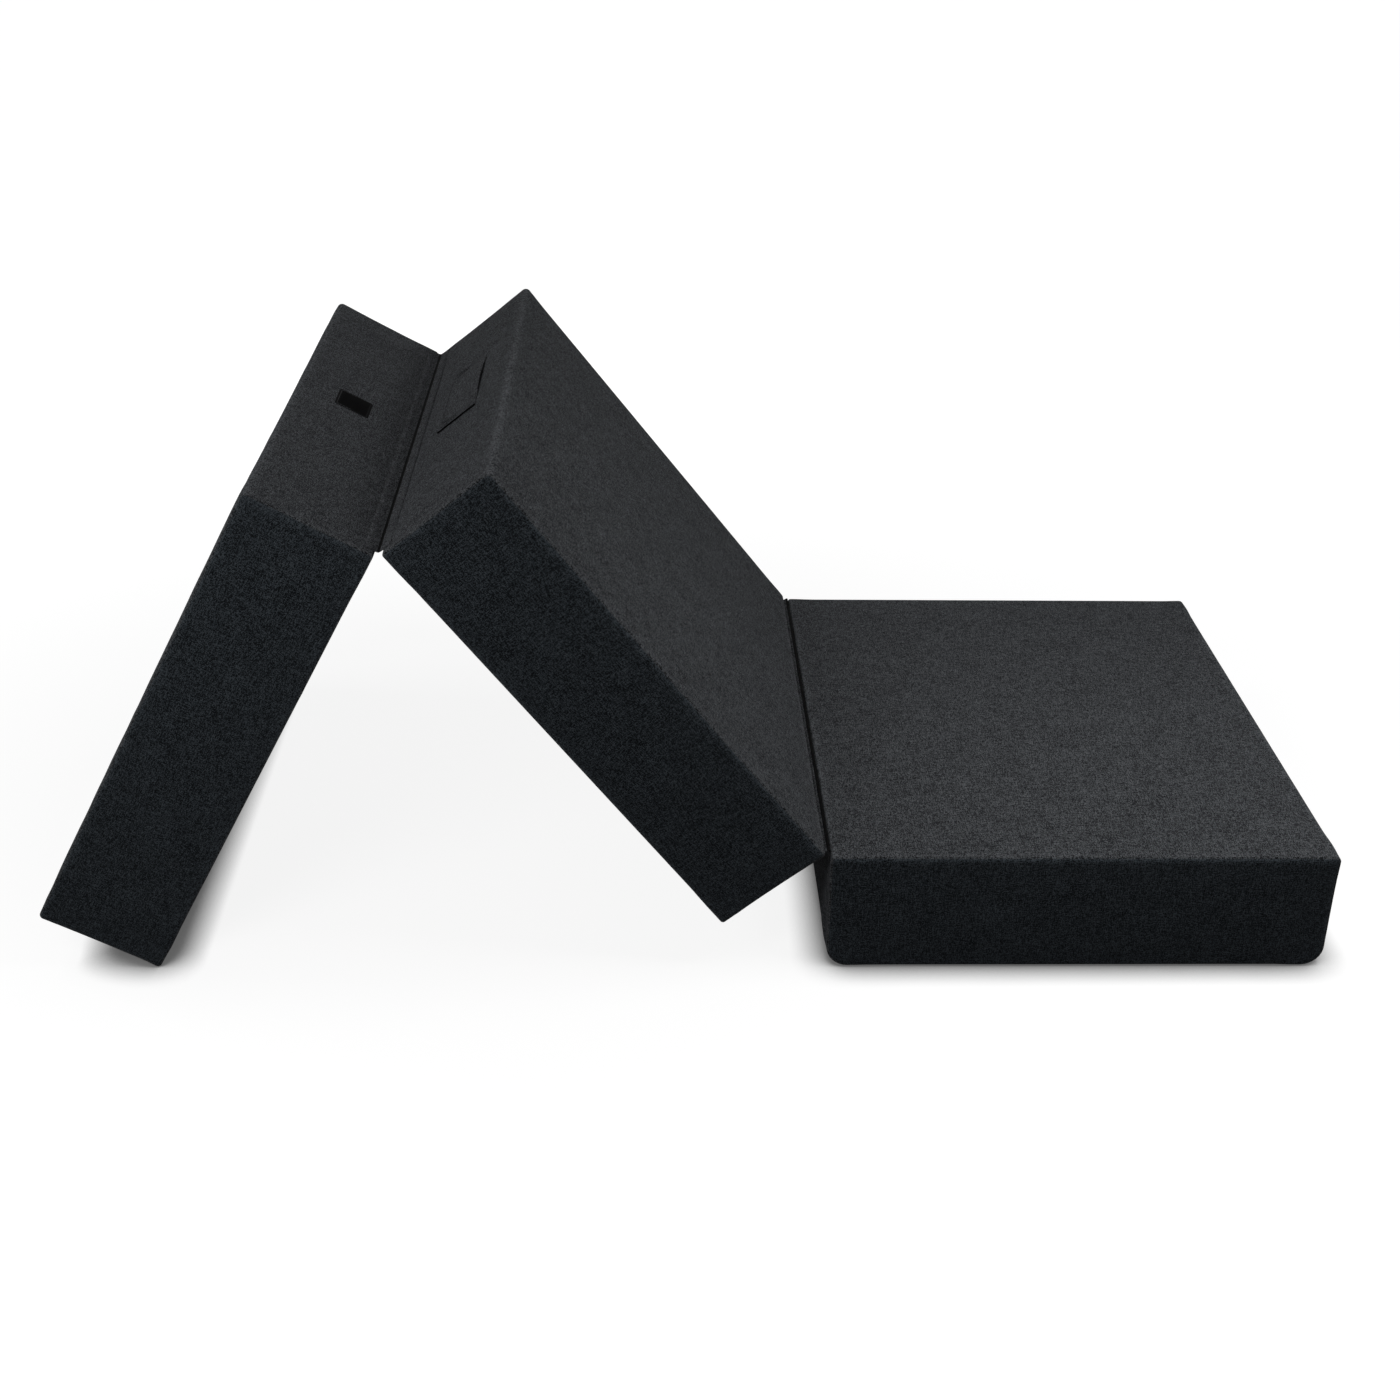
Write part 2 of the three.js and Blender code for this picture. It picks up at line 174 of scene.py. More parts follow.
# Node helpers


class Nodes:
    """A node tree with short calls for the nodes that the materials use."""

    def __init__(self, tree):
        self.tree = tree
        tree.nodes.clear()

    def add(self, kind, inputs=(), **settings):
        node = self.tree.nodes.new(f"ShaderNode{kind}")
        for key, value in settings.items():
            setattr(node, key, value)
        for key, value in dict(inputs).items():
            self.put(node.inputs[key], value)
        return node

    def put(self, socket, value):
        if isinstance(value, bpy.types.NodeSocket):
            self.tree.links.new(value, socket)
        else:
            socket.default_value = value

    def math(self, operation, *values, kind="Math"):
        return self.add(kind, dict(enumerate(values)), operation=operation).outputs[0]

    def vector(self, operation, *values):
        return self.math(operation, *values, kind="VectorMath")

    def split(self, vector):
        return self.add("SeparateXYZ", {0: vector}).outputs

    def noise(self, vector, scale, detail=2.0, roughness=0.5):
        inputs = {"Vector": vector, "Scale": scale, "Detail": detail, "Roughness": roughness}
        return self.add("TexNoise", inputs).outputs[0]

    def slub(self, along, across, rate, seed):
        """A tone for each stretch of a yarn, with its stretches staggered from yarn to yarn."""
        lone = self.add("CombineXYZ", {0: along, 1: seed}).outputs[0]
        stagger = self.add("TexWhiteNoise", {"Vector": lone}).outputs[0]
        stagger = self.math("MULTIPLY", stagger, STAGGER)
        place = self.math("ADD", self.math("MULTIPLY", across, rate), stagger)
        stretch = self.add("CombineXYZ", {0: along, 1: self.math("FLOOR", place), 2: seed})
        return self.add("TexWhiteNoise", {"Vector": stretch.outputs[0]}).outputs[0]

    def remap(self, value, low, high, to_low=0.0, to_high=1.0):
        ends = {"From Min": low, "From Max": high, "To Min": to_low, "To Max": to_high}
        return self.add("MapRange", {"Value": value, **ends}).outputs[0]

    def mix(self, factor, first, second):
        node = self.add("Mix", {"Factor": factor})
        self.put(node.inputs[2], first)
        self.put(node.inputs[3], second)
        return node.outputs[0]

    def ramp(self, value, stops):
        node = self.add("ValToRGB", {0: value})
        elements = node.color_ramp.elements
        while len(elements) < len(stops):
            elements.new(0.5)
        for element, (place, colour) in zip(elements, stops):
            element.position = place
            element.color = (*colour, 1)
        return node.outputs[0]

    def bump(self, height, strength, distance, normal=None):
        inputs = {"Height": height, "Strength": strength, "Distance": distance}
        if normal is not None:
            inputs["Normal"] = normal
        return self.add("Bump", inputs).outputs[0]

    def surface(self, **inputs):
        shader = self.add("BsdfPrincipled")
        for key, value in inputs.items():
            self.put(shader.inputs[key.replace("_", " ")], value)
        self.add("OutputMaterial", {"Surface": shader.outputs[0]})


def new_material(name, preview):
    """An empty node material, with the plain colour that a viewport shows."""
    made = bpy.data.materials.new(name)
    made.use_nodes = True
    made.diffuse_color = (*preview, 1)
    return made, Nodes(made.node_tree)


# Woven cloth. The mesh attribute "weave" holds the cloth's own coordinates in millimetres, and
# as its third number how much lighter the nap is there, from 0 to 1: partly wear, partly a painted
# highlight along the section's edges and seams.

WEAVE = "weave"
TO_MM = 1000
# Lightens the tone by worn nap and by a painted highlight along edges and seams
EDGE_WEAR_AND_HIGHLIGHT = 0.13
# Scales of the cloth's patterns, per millimetre
WANDER_SCALE, CLOUD_SCALE, FLUFF_SCALE, SWELL_SCALE = 0.03, 0.021, 2.2, 0.03
# Of the specks the scale is for a yarn 1 mm wide
SPECK_SCALE = 0.56
# How far the yarns wander, in millimetres, and their stretches are staggered, in stretches
WANDER = 6
STAGGER = 9.0
WARP_SEED, WEFT_SEED = 3.7, 41.3
# The range that a noise takes up, and how low a yarn's dome falls where it dips under
NOISE_RANGE = (0.3, 0.7)
DIP = 0.45
# Share of the fluff in the relief, and strength and height of the broad swell under it
FLUFF, SWELL = 0.6, (0.25, 0.0022)
TONE_STOPS = (0.29, 0.5, 0.71)


def woven(name, tones, yarn=0.9, slub=4.6, relief=0.0003, sheen=0.05, mottle=0.03):
    """Plain weave of heathered yarns: each yarn changes its tone from slub to slub."""
    made, nodes = new_material(name, tones[1])
    cloth = nodes.add("Attribute", attribute_name=WEAVE).outputs["Vector"]
    wander = nodes.add("TexNoise", {"Vector": cloth, "Scale": WANDER_SCALE}).outputs["Color"]
    wander = nodes.vector("SUBTRACT", wander, (0.5, 0.5, 0.5))
    bent = nodes.vector("ADD", cloth, nodes.vector("MULTIPLY", wander, (WANDER, WANDER, 0)))
    scaled = nodes.vector("MULTIPLY", bent, (1 / yarn, 1 / yarn, 1 / yarn))
    u, v, _ = nodes.split(nodes.vector("FLOOR", scaled))
    checker = nodes.math("FLOORED_MODULO", nodes.math("ADD", u, v), 2.0)
    warp = nodes.slub(u, v, yarn / slub, WARP_SEED)
    weft = nodes.slub(v, u, yarn / slub, WEFT_SEED)
    tone = nodes.remap(nodes.mix(checker, warp, weft), 0, 1, 0.0, 0.5)
    speck = nodes.noise(cloth, SPECK_SCALE / yarn, 1.0)
    cloudy = nodes.noise(cloth, CLOUD_SCALE, 3.0, 0.55)
    for more in (
        nodes.remap(speck, *NOISE_RANGE, 0, 0.5),
        nodes.remap(cloudy, *NOISE_RANGE, -mottle, mottle),
        nodes.math("MULTIPLY", nodes.split(cloth)[2], EDGE_WEAR_AND_HIGHLIGHT),
    ):
        tone = nodes.math("ADD", tone, more)
    across_u, across_v, _ = nodes.split(nodes.vector("FRACTION", scaled))
    dome_u = nodes.math("SINE", nodes.math("MULTIPLY", across_u, math.pi))
    dome_v = nodes.math("SINE", nodes.math("MULTIPLY", across_v, math.pi))
    over_warp = nodes.math("MULTIPLY", dome_u, nodes.remap(dome_v, 0, 1, DIP, 1))
    over_weft = nodes.math("MULTIPLY", dome_v, nodes.remap(dome_u, 0, 1, DIP, 1))
    fluff = nodes.math("MULTIPLY", nodes.noise(cloth, FLUFF_SCALE), FLUFF)
    height = nodes.math("ADD", nodes.mix(checker, over_warp, over_weft), fluff)
    swell = nodes.bump(nodes.noise(cloth, SWELL_SCALE), *SWELL)
    nodes.surface(
        Base_Color=nodes.ramp(tone, list(zip(TONE_STOPS, tones))),
        Roughness=0.92,
        Normal=nodes.bump(height, 0.8, relief, swell),
        Specular_IOR_Level=0.03,
        Sheen_Weight=sheen,
        Sheen_Roughness=0.5,
        Sheen_Tint=(0.86, 0.9, 1.0, 1),
    )
    return made


def foam_material(name, body, pore_shade):
    made, nodes = new_material(name, body)
    place = nodes.add("TexCoord").outputs["Object"]
    cells = nodes.add("TexVoronoi", {"Vector": place, "Scale": 620.0}).outputs["Distance"]
    stain = nodes.noise(place, 9.0, 3.0)
    stain = nodes.remap(stain, *NOISE_RANGE, -0.15, 0.15)
    # Each cell's pore is painted darker, as the shade inside it
    tone = nodes.math("ADD", nodes.remap(cells, 0.1, 0.7), stain)
    nodes.surface(
        Base_Color=nodes.ramp(tone, [(0.05, pore_shade), (0.45, body), (1.0, body)]),
        Roughness=0.9,
        Normal=nodes.bump(cells, 0.6, 0.0006),
        Subsurface_Weight=0.05,
    )
    return made


def grained(name, preview, grain, gloss, relief, stops, stretch=None, **surface):
    """A plain material with a fine grain. `stretch` draws its colours out into scratches."""
    made, nodes = new_material(name, preview)
    place = nodes.add("TexCoord").outputs["Object"]
    fine = pattern = nodes.noise(place, *grain)
    if stretch:
        pattern = nodes.noise(nodes.vector("MULTIPLY", place, stretch), 1.0, 3.0)
    nodes.surface(
        Base_Color=nodes.ramp(pattern, stops),
        Roughness=nodes.remap(fine, *NOISE_RANGE, *gloss),
        Normal=nodes.bump(fine, *relief),
        **surface,
    )
    return made


cover_fabric = woven(
    "cover_fabric", ((0.0035, 0.0035, 0.0038), (0.026, 0.0275, 0.030), (0.112, 0.118, 0.125))
)
# The cover's own cloth, painted darker and bluer as the shade that falls on the upright borders
border_fabric = woven(
    "border_fabric", ((0.0035, 0.0044, 0.0052), (0.0205, 0.0246, 0.0285), (0.066, 0.078, 0.089))
)
# Near-black cloth painted as shade: the line at the bottom of each fold's crease, and the shadow
# lines at the carry handle's raised rims
painted_shade_fabric = woven(
    "painted_shade_fabric", ((0.0005, 0.0005, 0.0005), (0.0014, 0.0014, 0.0015), (0.004, 0.004, 0.0042)),
    sheen=0.0,
)
tape_fabric = woven(
    "zip_tape", ((0.004, 0.004, 0.005), (0.011, 0.011, 0.013), (0.028, 0.029, 0.032)),
    yarn=0.5, slub=2.0, relief=0.0001, mottle=0.05,
)
thread = woven(
    "sewing_thread", ((0.012, 0.012, 0.013), (0.034, 0.035, 0.038), (0.07, 0.072, 0.076)),
    yarn=0.3, slub=1.0, relief=0.00006, mottle=0.0,
)
# Black-painted die casting, worn brighter in fine scratches
zip_metal = grained(
    "zip_metal", (0.03, 0.03, 0.032), (900.0, 4.0, 0.7), (0.3, 0.5), (0.25, 0.0001),
    [(0.4, (0.016, 0.016, 0.018)), (0.62, (0.035, 0.036, 0.039)), (0.8, (0.16, 0.16, 0.17))],
    (260, 900, 260), Metallic=0.85,
)
zip_nylon = grained(
    "zip_nylon", (0.02, 0.02, 0.022), (700.0, 2.0), (0.28, 0.45), (0.15, 0.0001),
    [(0.3, (0.012, 0.012, 0.014)), (0.7, (0.028, 0.029, 0.031))],
)
hook_nylon = grained(
    "hook_tape", (0.006, 0.006, 0.007), (1400.0, 3.0, 0.7), (0.75, 0.75), (0.3, 0.0002),
    [(0.45, (0.002, 0.002, 0.0022)), (0.7, (0.004, 0.004, 0.0044)), (0.9, (0.02, 0.02, 0.021))],
    Specular_IOR_Level=0.01,
)
support_foam = foam_material("support_foam", (0.80, 0.76, 0.66), (0.45, 0.42, 0.34))
comfort_foam = foam_material("comfort_foam", (0.66, 0.75, 0.82), (0.36, 0.44, 0.52))


# Meshes


def make_mesh(name, points, faces, material, weave=None, smooth=True):
    """A mesh object from arrays. `weave` gives cloth coordinates per point or per face corner."""
    mesh = bpy.data.meshes.new(name)
    mesh.from_pydata(np.asarray(points).tolist(), [], [list(map(int, face)) for face in faces])
    mesh.validate()
    mesh.update()
    if weave is not None:
        corners = np.asarray(weave, float)
        if len(corners) == len(points) and len(corners) != len(mesh.loops):
            index = np.zeros(len(mesh.loops), int)
            mesh.loops.foreach_get("vertex_index", index)
            corners = corners[index]
        attribute = mesh.attributes.new(WEAVE, "FLOAT_VECTOR", "CORNER")
        attribute.data.foreach_set("vector", corners.astype(np.float32).ravel())
    if smooth:
        mesh.shade_smooth()
    mesh.materials.append(material)
    return linked(name, mesh)


def outward(points, faces):
    """The faces of a closed mesh, turned so that they look out of it."""
    corners = [(face[0], face[k], face[k + 1]) for face in faces for k in range(1, len(face) - 1)]
    a, b, c = (np.asarray(points)[list(index)] for index in zip(*corners))
    total = np.einsum("ij,ij->i", a, np.cross(b, c)).sum()
    return faces if total > 0 else [tuple(reversed(face)) for face in faces]


def piece(name, points, faces, material, body, weave=None, replaced=(), smooth=True):
    made = make_mesh(name, points, faces, material, weave, smooth)
    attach(made, body)
    if replaced:
        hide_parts(*replaced)
    return made


def grid_faces(rows, columns, wrap_rows=False, wrap_columns=False, first=0):
    """Faces of a grid of points stored row by row."""
    faces = []
    for i in range(rows if wrap_rows else rows - 1):
        here, there = first + i * columns, first + ((i + 1) % rows) * columns
        for j in range(columns if wrap_columns else columns - 1):
            k = (j + 1) % columns
            faces.append((here + j, there + j, there + k, here + k))
    return faces


def tube_faces(rows, columns):
    """Faces of a grid that closes round on itself, with a flat end at its first and last row."""
    last = (rows - 1) * columns
    ends = [tuple(range(columns)), tuple(last + k for k in reversed(range(columns)))]
    return grid_faces(rows, columns, wrap_columns=True) + ends


# Sections of a panel, as rounded rectangles in its X and Z

ARC_STEPS = 8
FLAT_X, FLAT_Z = 90, 22


def bulge(share):
    return 1 - np.abs(share) ** CROWN_POWER


def on_circle(angle):
    return np.stack([np.cos(angle), np.sin(angle)], -1)


def rounded_corners(centre, half, radii, steps):
    """Points and outward normals of a rectangle's four corners, in the order of a panel's radii.
    Even the last digits count here, because the cloth simulation starts from these points."""
    corners = []
    for index, radius in enumerate(radii):
        x = centre[0] + (1 if index in (1, 2) else -1) * (half[0] - radius)
        y = centre[1] + (1 if index > 1 else -1) * (half[1] - radius)
        normals = on_circle(math.pi / 2 * (2 + index + np.arange(steps + 1) / steps))
        corners.append((np.array([x, y]) + radius * normals, normals))
    return corners


def rounded(centre, half, radii, steps):
    return np.concatenate([arc for arc, _ in rounded_corners(centre, half, radii, steps)])


def lengths_round(section):
    """Lengths along a closed section up to each of its points, and all the way round."""
    step = np.linalg.norm(np.roll(section, -1, 0) - section, axis=1)
    return np.concatenate([[0], np.cumsum(step)])


def ring(panel, inset, sides=(FLAT_X, FLAT_Z), steps=ARC_STEPS):
    """Points of one section, drawn in by `inset`: place, outward normal, crown, side weight of
    the ends against the long faces, in arrays."""
    half = HALF_LENGTH - inset, HALF_THICKNESS - inset
    radii = [max(corner - inset, LEAST_RADIUS) for corner in panel.radii]
    arcs = rounded_corners((0, HALF_THICKNESS), half, radii, steps)
    places, normals, crowns, ends = [], [], [], []
    for index, (arc, arc_normals) in enumerate(arcs):
        start, finish = arc[-1], arcs[(index + 1) % 4][0][0]
        count = sides[index % 2]
        share = np.linspace(-1, 1, count + 1)[1:-1]
        along = ((1 + share) / 2)[:, None]
        places += [arc, start * (1 - along) + finish * along]
        normals += [arc_normals, np.tile(on_circle(math.pi / 2 * (3 + index)), (count - 1, 1))]
        crowns += [np.zeros(steps + 1), panel.crowns[index] * bulge(share)]
        turn = np.linspace(0, 1, steps + 1)
        ends += [turn if index % 2 else 1 - turn, np.full(count - 1, float(index % 2))]
    return [np.concatenate(part) for part in (places, normals, crowns, ends)]


# The rolled edge between a long face and a border, as a superellipse whose middle is the seam
ROLL_IN = 0.0075
ROLL_BACK = 0.0065
ROLL_POWER = 2.4
SEAM_ANGLE = math.pi / 4
NOTCH_WIDTH = 0.0022
NOTCH_LONG = 0.0003
NOTCH_END = 0.0011
PUCKER = 0.3
FINE_RATE, BROAD_RATE, FINE_PUCKER = 95, 31, 1.3
SEAM_SEED = 3.1
FRONT_SAG = 0.0016


def roll(angle):
    """Inset and depth of the edge at an angle from the long face (0) to the border (a quarter)."""
    power = 2 / ROLL_POWER
    return (
        ROLL_IN * (1 - np.cos(angle) ** power),
        ROLL_BACK * (1 - np.sin(angle) ** power),
    )


SEAM_INSET, SEAM_DEPTH = roll(SEAM_ANGLE)


def roll_depth(inset):
    """Depth of the edge's curve at an inset."""
    share = np.clip(1 - inset / ROLL_IN, 0, 1)
    return ROLL_BACK * (1 - (1 - share**ROLL_POWER) ** (1 / ROLL_POWER))


def front_sag(x, z):
    """How far the border's plane falls back from its middle towards its edges."""
    flat_x, flat_z = 2 * x / PANEL_LENGTH, 2 * z / PANEL_THICKNESS - 1
    return FRONT_SAG * (1 - bulge(flat_x) * bulge(flat_z))


def notched(flat, y, side, normal, ends, distance, inward):
    """Points of a ring near the seam, which the uneven pull of its thread draws in. `inward` is
    how much of that is within the section."""
    points = xyz(flat[:, 0], side * y, flat[:, 1])
    seed = SEAM_SEED * side
    pull = waves(points, FINE_RATE, (seed, 0, 0)) * FINE_PUCKER
    pull += waves(points, BROAD_RATE, (0, seed, 0))
    drawn = (NOTCH_LONG + (NOTCH_END - NOTCH_LONG) * ends) * (1 + PUCKER * np.clip(pull, -1, 1))
    drawn *= np.exp(-((distance / NOTCH_WIDTH) ** 2))
    points[:, [0, 2]] -= normal * (drawn * inward)[:, None]
    points[:, 1] -= side * drawn * math.sin(SEAM_ANGLE)
    return points


EDGE_SHARES = (1, 0.94, 0.86, 0.74, 0.6, 0.44, 0.28, 0.12, 0.03)


def sleeve_rows(panel, side):
    """Rows of the sleeve's rolled edge from the seam to the long face. `side` is -1 in front."""
    rows = []
    for share in EDGE_SHARES:
        inset, depth = roll(SEAM_ANGLE * share)
        place, normal, crown, ends = ring(panel, inset)
        y = HALF_WIDTH - depth - front_sag(place[:, 0], place[:, 1]) * share
        flat = place + normal * (crown * bulge((HALF_WIDTH - depth) / HALF_WIDTH))[:, None]
        distance = math.hypot(SEAM_INSET - inset, SEAM_DEPTH - depth)
        rows.append(notched(flat, y, side, normal, ends, distance, math.cos(SEAM_ANGLE)))
    return rows


def plain_row(panel, y, inset, crowned=True):
    place, normal, crown, _ = ring(panel, inset)
    across = bulge(y / HALF_WIDTH) if crowned else 0
    flat = place + normal * (crown * across)[:, None]
    return xyz(flat[:, 0], y, flat[:, 1])


BODY_ROWS = 104
INNER_ROWS = 15
INNER_REACH = 0.34
# Rows of the cloth turned in at a seam: how far behind the seam, and the inset there
RIM_ROWS = (
    (0.0028, SEAM_INSET + 0.0016),
    (0.0048, SEAM_INSET + 0.0012),
    (0.009, FABRIC_WALL + 0.0004),
    (0.014, FABRIC_WALL),
)


def sleeve(panel):
    """Rows of the sleeve: outside from the front seam to the rear one, then back inside."""
    reach = HALF_WIDTH - ROLL_BACK
    outer = [plain_row(panel, y, 0) for y in np.linspace(-reach, reach, BODY_ROWS)]
    front, rear = sleeve_rows(panel, -1), sleeve_rows(panel, 1)
    outside = [*front, *outer, *rear[::-1]]

    def rim(side):
        edge = HALF_WIDTH - SEAM_DEPTH
        return [plain_row(panel, side * (edge - y), inset, False) for y, inset in RIM_ROWS]

    inner = np.linspace(INNER_REACH, -INNER_REACH, INNER_ROWS)
    inside = [plain_row(panel, y, FABRIC_WALL) for y in inner]
    return outside, [*rim(1), *inside, *rim(-1)[::-1]]


# Borders: concentric rings from the seam to a core rectangle, and a grid inside that

BORDER_STEPS = 4
CORE_INSET = ZIP_MARGIN
CORE_X = 93
CORE_ROWS = 6
SLOT_HEM = 0.0012
# How much of the seam's pull moves the border's cloth within its plane, and how its rings go
# over from the rounded outline to the core's
BORDER_INWARD = 0.5
SQUARING = 1.5
BORDER_INSETS = (0.0, 0.0007, 0.0018, 0.0034, 0.0055, 0.0085, 0.0125, 0.0175, 0.023, 0.029)


def core_lines():
    """Places of the core's columns and rows. A zip's slot takes up the two rows of cells next to
    the middle."""
    half = HALF_LENGTH - CORE_INSET
    slot_edge = HALF_THICKNESS + ZIP_SLOT / 2
    upper = np.linspace(slot_edge, PANEL_THICKNESS - CORE_INSET, CORE_ROWS + 1)
    upper = np.insert(upper, 1, slot_edge + SLOT_HEM)
    zs = np.concatenate([PANEL_THICKNESS - upper[::-1], [HALF_THICKNESS], upper])
    return np.linspace(-half, half, CORE_X + 1), zs


def border(panel, side, slotted):
    """Points and faces of a border's outside, and the cloth's own coordinates there."""
    xs, zs = core_lines()
    sides = (CORE_X - BORDER_STEPS, len(zs) - 1 - BORDER_STEPS)
    grid_x, grid_z = np.meshgrid(xs, zs)
    core = xyz(grid_x, side * (HALF_WIDTH - front_sag(grid_x, grid_z)), grid_z).reshape(-1, 3)
    # Indices of the core's outline, in the order of a ring that starts halfway round the lower
    # left corner
    index = np.arange(len(core)).reshape(len(zs), len(xs))
    around = np.concatenate(
        [index[0, :-1], index[:-1, -1], index[-1, ::-1][:-1], index[::-1, 0][:-1]]
    )
    outline = core[around][:, [0, 2]]
    count = len(outline)
    levels, cloth = [], []
    for extra in BORDER_INSETS:
        inset = SEAM_INSET + extra
        place, normal, _, ends = ring(panel, inset, sides, BORDER_STEPS)
        place, normal, ends = (
            np.roll(part, -BORDER_STEPS // 2, 0) for part in (place, normal, ends)
        )
        share = min(extra / (CORE_INSET - SEAM_INSET), 1) ** SQUARING
        flat = place * (1 - share) + outline * share
        depth = roll_depth(inset) + front_sag(flat[:, 0], flat[:, 1])
        distance = math.hypot(extra, SEAM_DEPTH - roll_depth(inset))
        y = HALF_WIDTH - depth
        levels.append(notched(flat, y, side, normal, ends, distance, BORDER_INWARD))
        cloth.append(flat + normal * depth[:, None])
    front = np.concatenate([*levels, core])
    cloth = np.concatenate([*cloth, core[:, [0, 2]]])
    faces = grid_faces(len(levels), count, wrap_columns=True)
    first, last = len(levels) * count, (len(levels) - 1) * count
    for i in range(count):
        k = (i + 1) % count
        faces.append((last + i, first + around[i], first + around[k], last + k))
    cells = grid_faces(len(zs), len(xs), first=first)
    if slotted:
        in_slot = np.abs(zs[:-1] + zs[1:] - PANEL_THICKNESS) < ZIP_SLOT * 1.01
        cells = [cell for k, cell in enumerate(cells) if not in_slot[k // (len(xs) - 1)]]
    faces += cells
    return front, faces if side > 0 else [tuple(reversed(face)) for face in faces], cloth


def closed_shell(front, faces, back):
    """Closes an open surface with `back`, the places of its points on the other side, and a rim
    round its edges. Returns the points, all the faces and the rim."""
    edges = {(a, b): None for face in faces for a, b in zip(face, face[1:] + face[:1])}
    count = len(front)
    rim = [(b, a, a + count, b + count) for a, b in edges if (b, a) not in edges]
    behind = [tuple(k + count for k in reversed(face)) for face in faces]
    return np.concatenate([front, back]), [*faces, *behind, *rim], rim


def without_loose(points, faces, *others):
    used = np.unique(np.concatenate([np.array(face) for face in faces]))
    index = np.full(len(points), -1)
    index[used] = np.arange(len(used))
    return [points[used], [tuple(index[list(face)]) for face in faces], *(o[used] for o in others)]


# Cloth simulation: each panel's skin is blown up a little inside a seam that is too tight, and
# what the cloth does at the scale of puckers and creases is kept.

VOXEL = 0.009
SIM_FRAMES = 16
SEAM_REACH = 0.022
SMOOTHING = 26
CREASE_CAP = 0.0012
CREASE_GAIN = 0.4
NEAREST = 4
SHELL_ROWS = 30
SHELL_INSETS = (0.030, 0.012, 0.006)
CLOTH_SETTINGS = dict(
    quality=6, mass=0.4, tension_stiffness=25, compression_stiffness=25, shear_stiffness=12,
    bending_stiffness=0.6, use_pressure=True, uniform_pressure_force=4,
    vertex_group_shrink="seam", shrink_min=-0.012, shrink_max=0.06,
)


def from_outside(points):
    """Depth of panel points under the ends, the borders and the long faces of a sharp box."""
    x, y, z = points.T
    return (
        HALF_LENGTH - np.abs(x), HALF_WIDTH - np.abs(y), HALF_THICKNESS - np.abs(z - HALF_THICKNESS)
    )


def seam_distance(points):
    """Distance of panel points from the nearer side seam, on a sharp-cornered section."""
    from_end, from_border, from_face = from_outside(points)
    return np.hypot(np.minimum(from_end, from_face) - SEAM_INSET, from_border - SEAM_DEPTH)


def simulation_shell(panel):
    front = [
        plain_row(panel, -HALF_WIDTH + depth, inset, False)
        for depth, inset in (*((roll_depth(s), s) for s in SHELL_INSETS), (SEAM_DEPTH, SEAM_INSET))
    ]
    reach = HALF_WIDTH - ROLL_BACK
    body = [plain_row(panel, y, 0) for y in np.linspace(-reach, reach, SHELL_ROWS)]
    rows = [*front, *body, *(row * (1, -1, 1) for row in front[::-1])]
    return make_mesh(
        f"{panel.name}_simulation", np.concatenate(rows), tube_faces(len(rows), len(rows[0])),
        cover_fabric, smooth=False,
    )


def points_of(mesh):
    points = np.zeros(len(mesh.vertices) * 3)
    mesh.vertices.foreach_get("co", points)
    return points.reshape(-1, 3)


def simulate(panel):
    """Runs the cloth on a remeshed copy, and keeps its creases as a field round the panel."""
    shell = simulation_shell(panel)
    remesh = shell.modifiers.new("remesh", "REMESH")
    remesh.mode = "VOXEL"
    remesh.voxel_size = VOXEL
    bpy.context.view_layer.objects.active = shell
    with bpy.context.temp_override(object=shell, active_object=shell):
        bpy.ops.object.modifier_apply(modifier=remesh.name)
    rest = points_of(shell.data)
    tight = np.clip(1 - seam_distance(rest) / SEAM_REACH, 0, 1)
    group = shell.vertex_groups.new(name=CLOTH_SETTINGS["vertex_group_shrink"])
    for index, weight in enumerate(tight):
        if weight > 0:
            group.add([index], float(weight), "REPLACE")
    cloth = shell.modifiers.new("cloth", "CLOTH")
    for key, value in CLOTH_SETTINGS.items():
        setattr(cloth.settings, key, value)
    cloth.settings.effector_weights.gravity = 0
    cloth.point_cache.frame_start = 1
    cloth.point_cache.frame_end = SIM_FRAMES
    scene = bpy.context.scene
    for number in range(1, SIM_FRAMES + 1):
        scene.frame_set(number)
    blown = shell.evaluated_get(bpy.context.evaluated_depsgraph_get()).to_mesh()
    moved = points_of(blown) - rest
    edges = np.zeros(len(shell.data.edges) * 2, int)
    shell.data.edges.foreach_get("vertices", edges)
    edges = edges.reshape(-1, 2)
    scene.frame_set(1)
    bpy.data.objects.remove(shell)
    creases = moved - smoothed(moved, edges, SMOOTHING)
    creases = smoothed(creases, edges, 1) * CREASE_GAIN
    size = np.linalg.norm(creases, axis=1, keepdims=True) + 1e-12
    creases *= np.tanh(size / CREASE_CAP) * CREASE_CAP / size
    tree = KDTree(len(rest))
    for index, point in enumerate(rest):
        tree.insert(point, index)
    tree.balance()
    panel.cloth = (tree, creases)


def smoothed(values, edges, times):
    """Averages each value with its neighbours along the edges, again and again."""
    degree = np.bincount(edges.ravel(), minlength=len(values))[:, None]
    here, there = np.concatenate([edges, edges[:, ::-1]]).T
    for _ in range(times):
        total = [np.bincount(here, column[there], len(values)) for column in values.T]
        values = (values + np.stack(total, 1) / degree) / 2
    return values


def creased(panel, points):
    """Points of a panel's skin, moved by what the cloth did next to them."""
    if panel.cloth is None:
        return points
    tree, creases = panel.cloth
    moved = np.array(points)
    for index, point in enumerate(points):
        found = tree.find_n(point, NEAREST)
        weights = np.array([1 / (distance * distance + 1e-6) for _, _, distance in found])
        shift = creases[[k for _, k, _ in found]]
        moved[index] += (weights[:, None] * shift).sum(0) / weights.sum()
    return moved


FACE_GAP = 0.0003


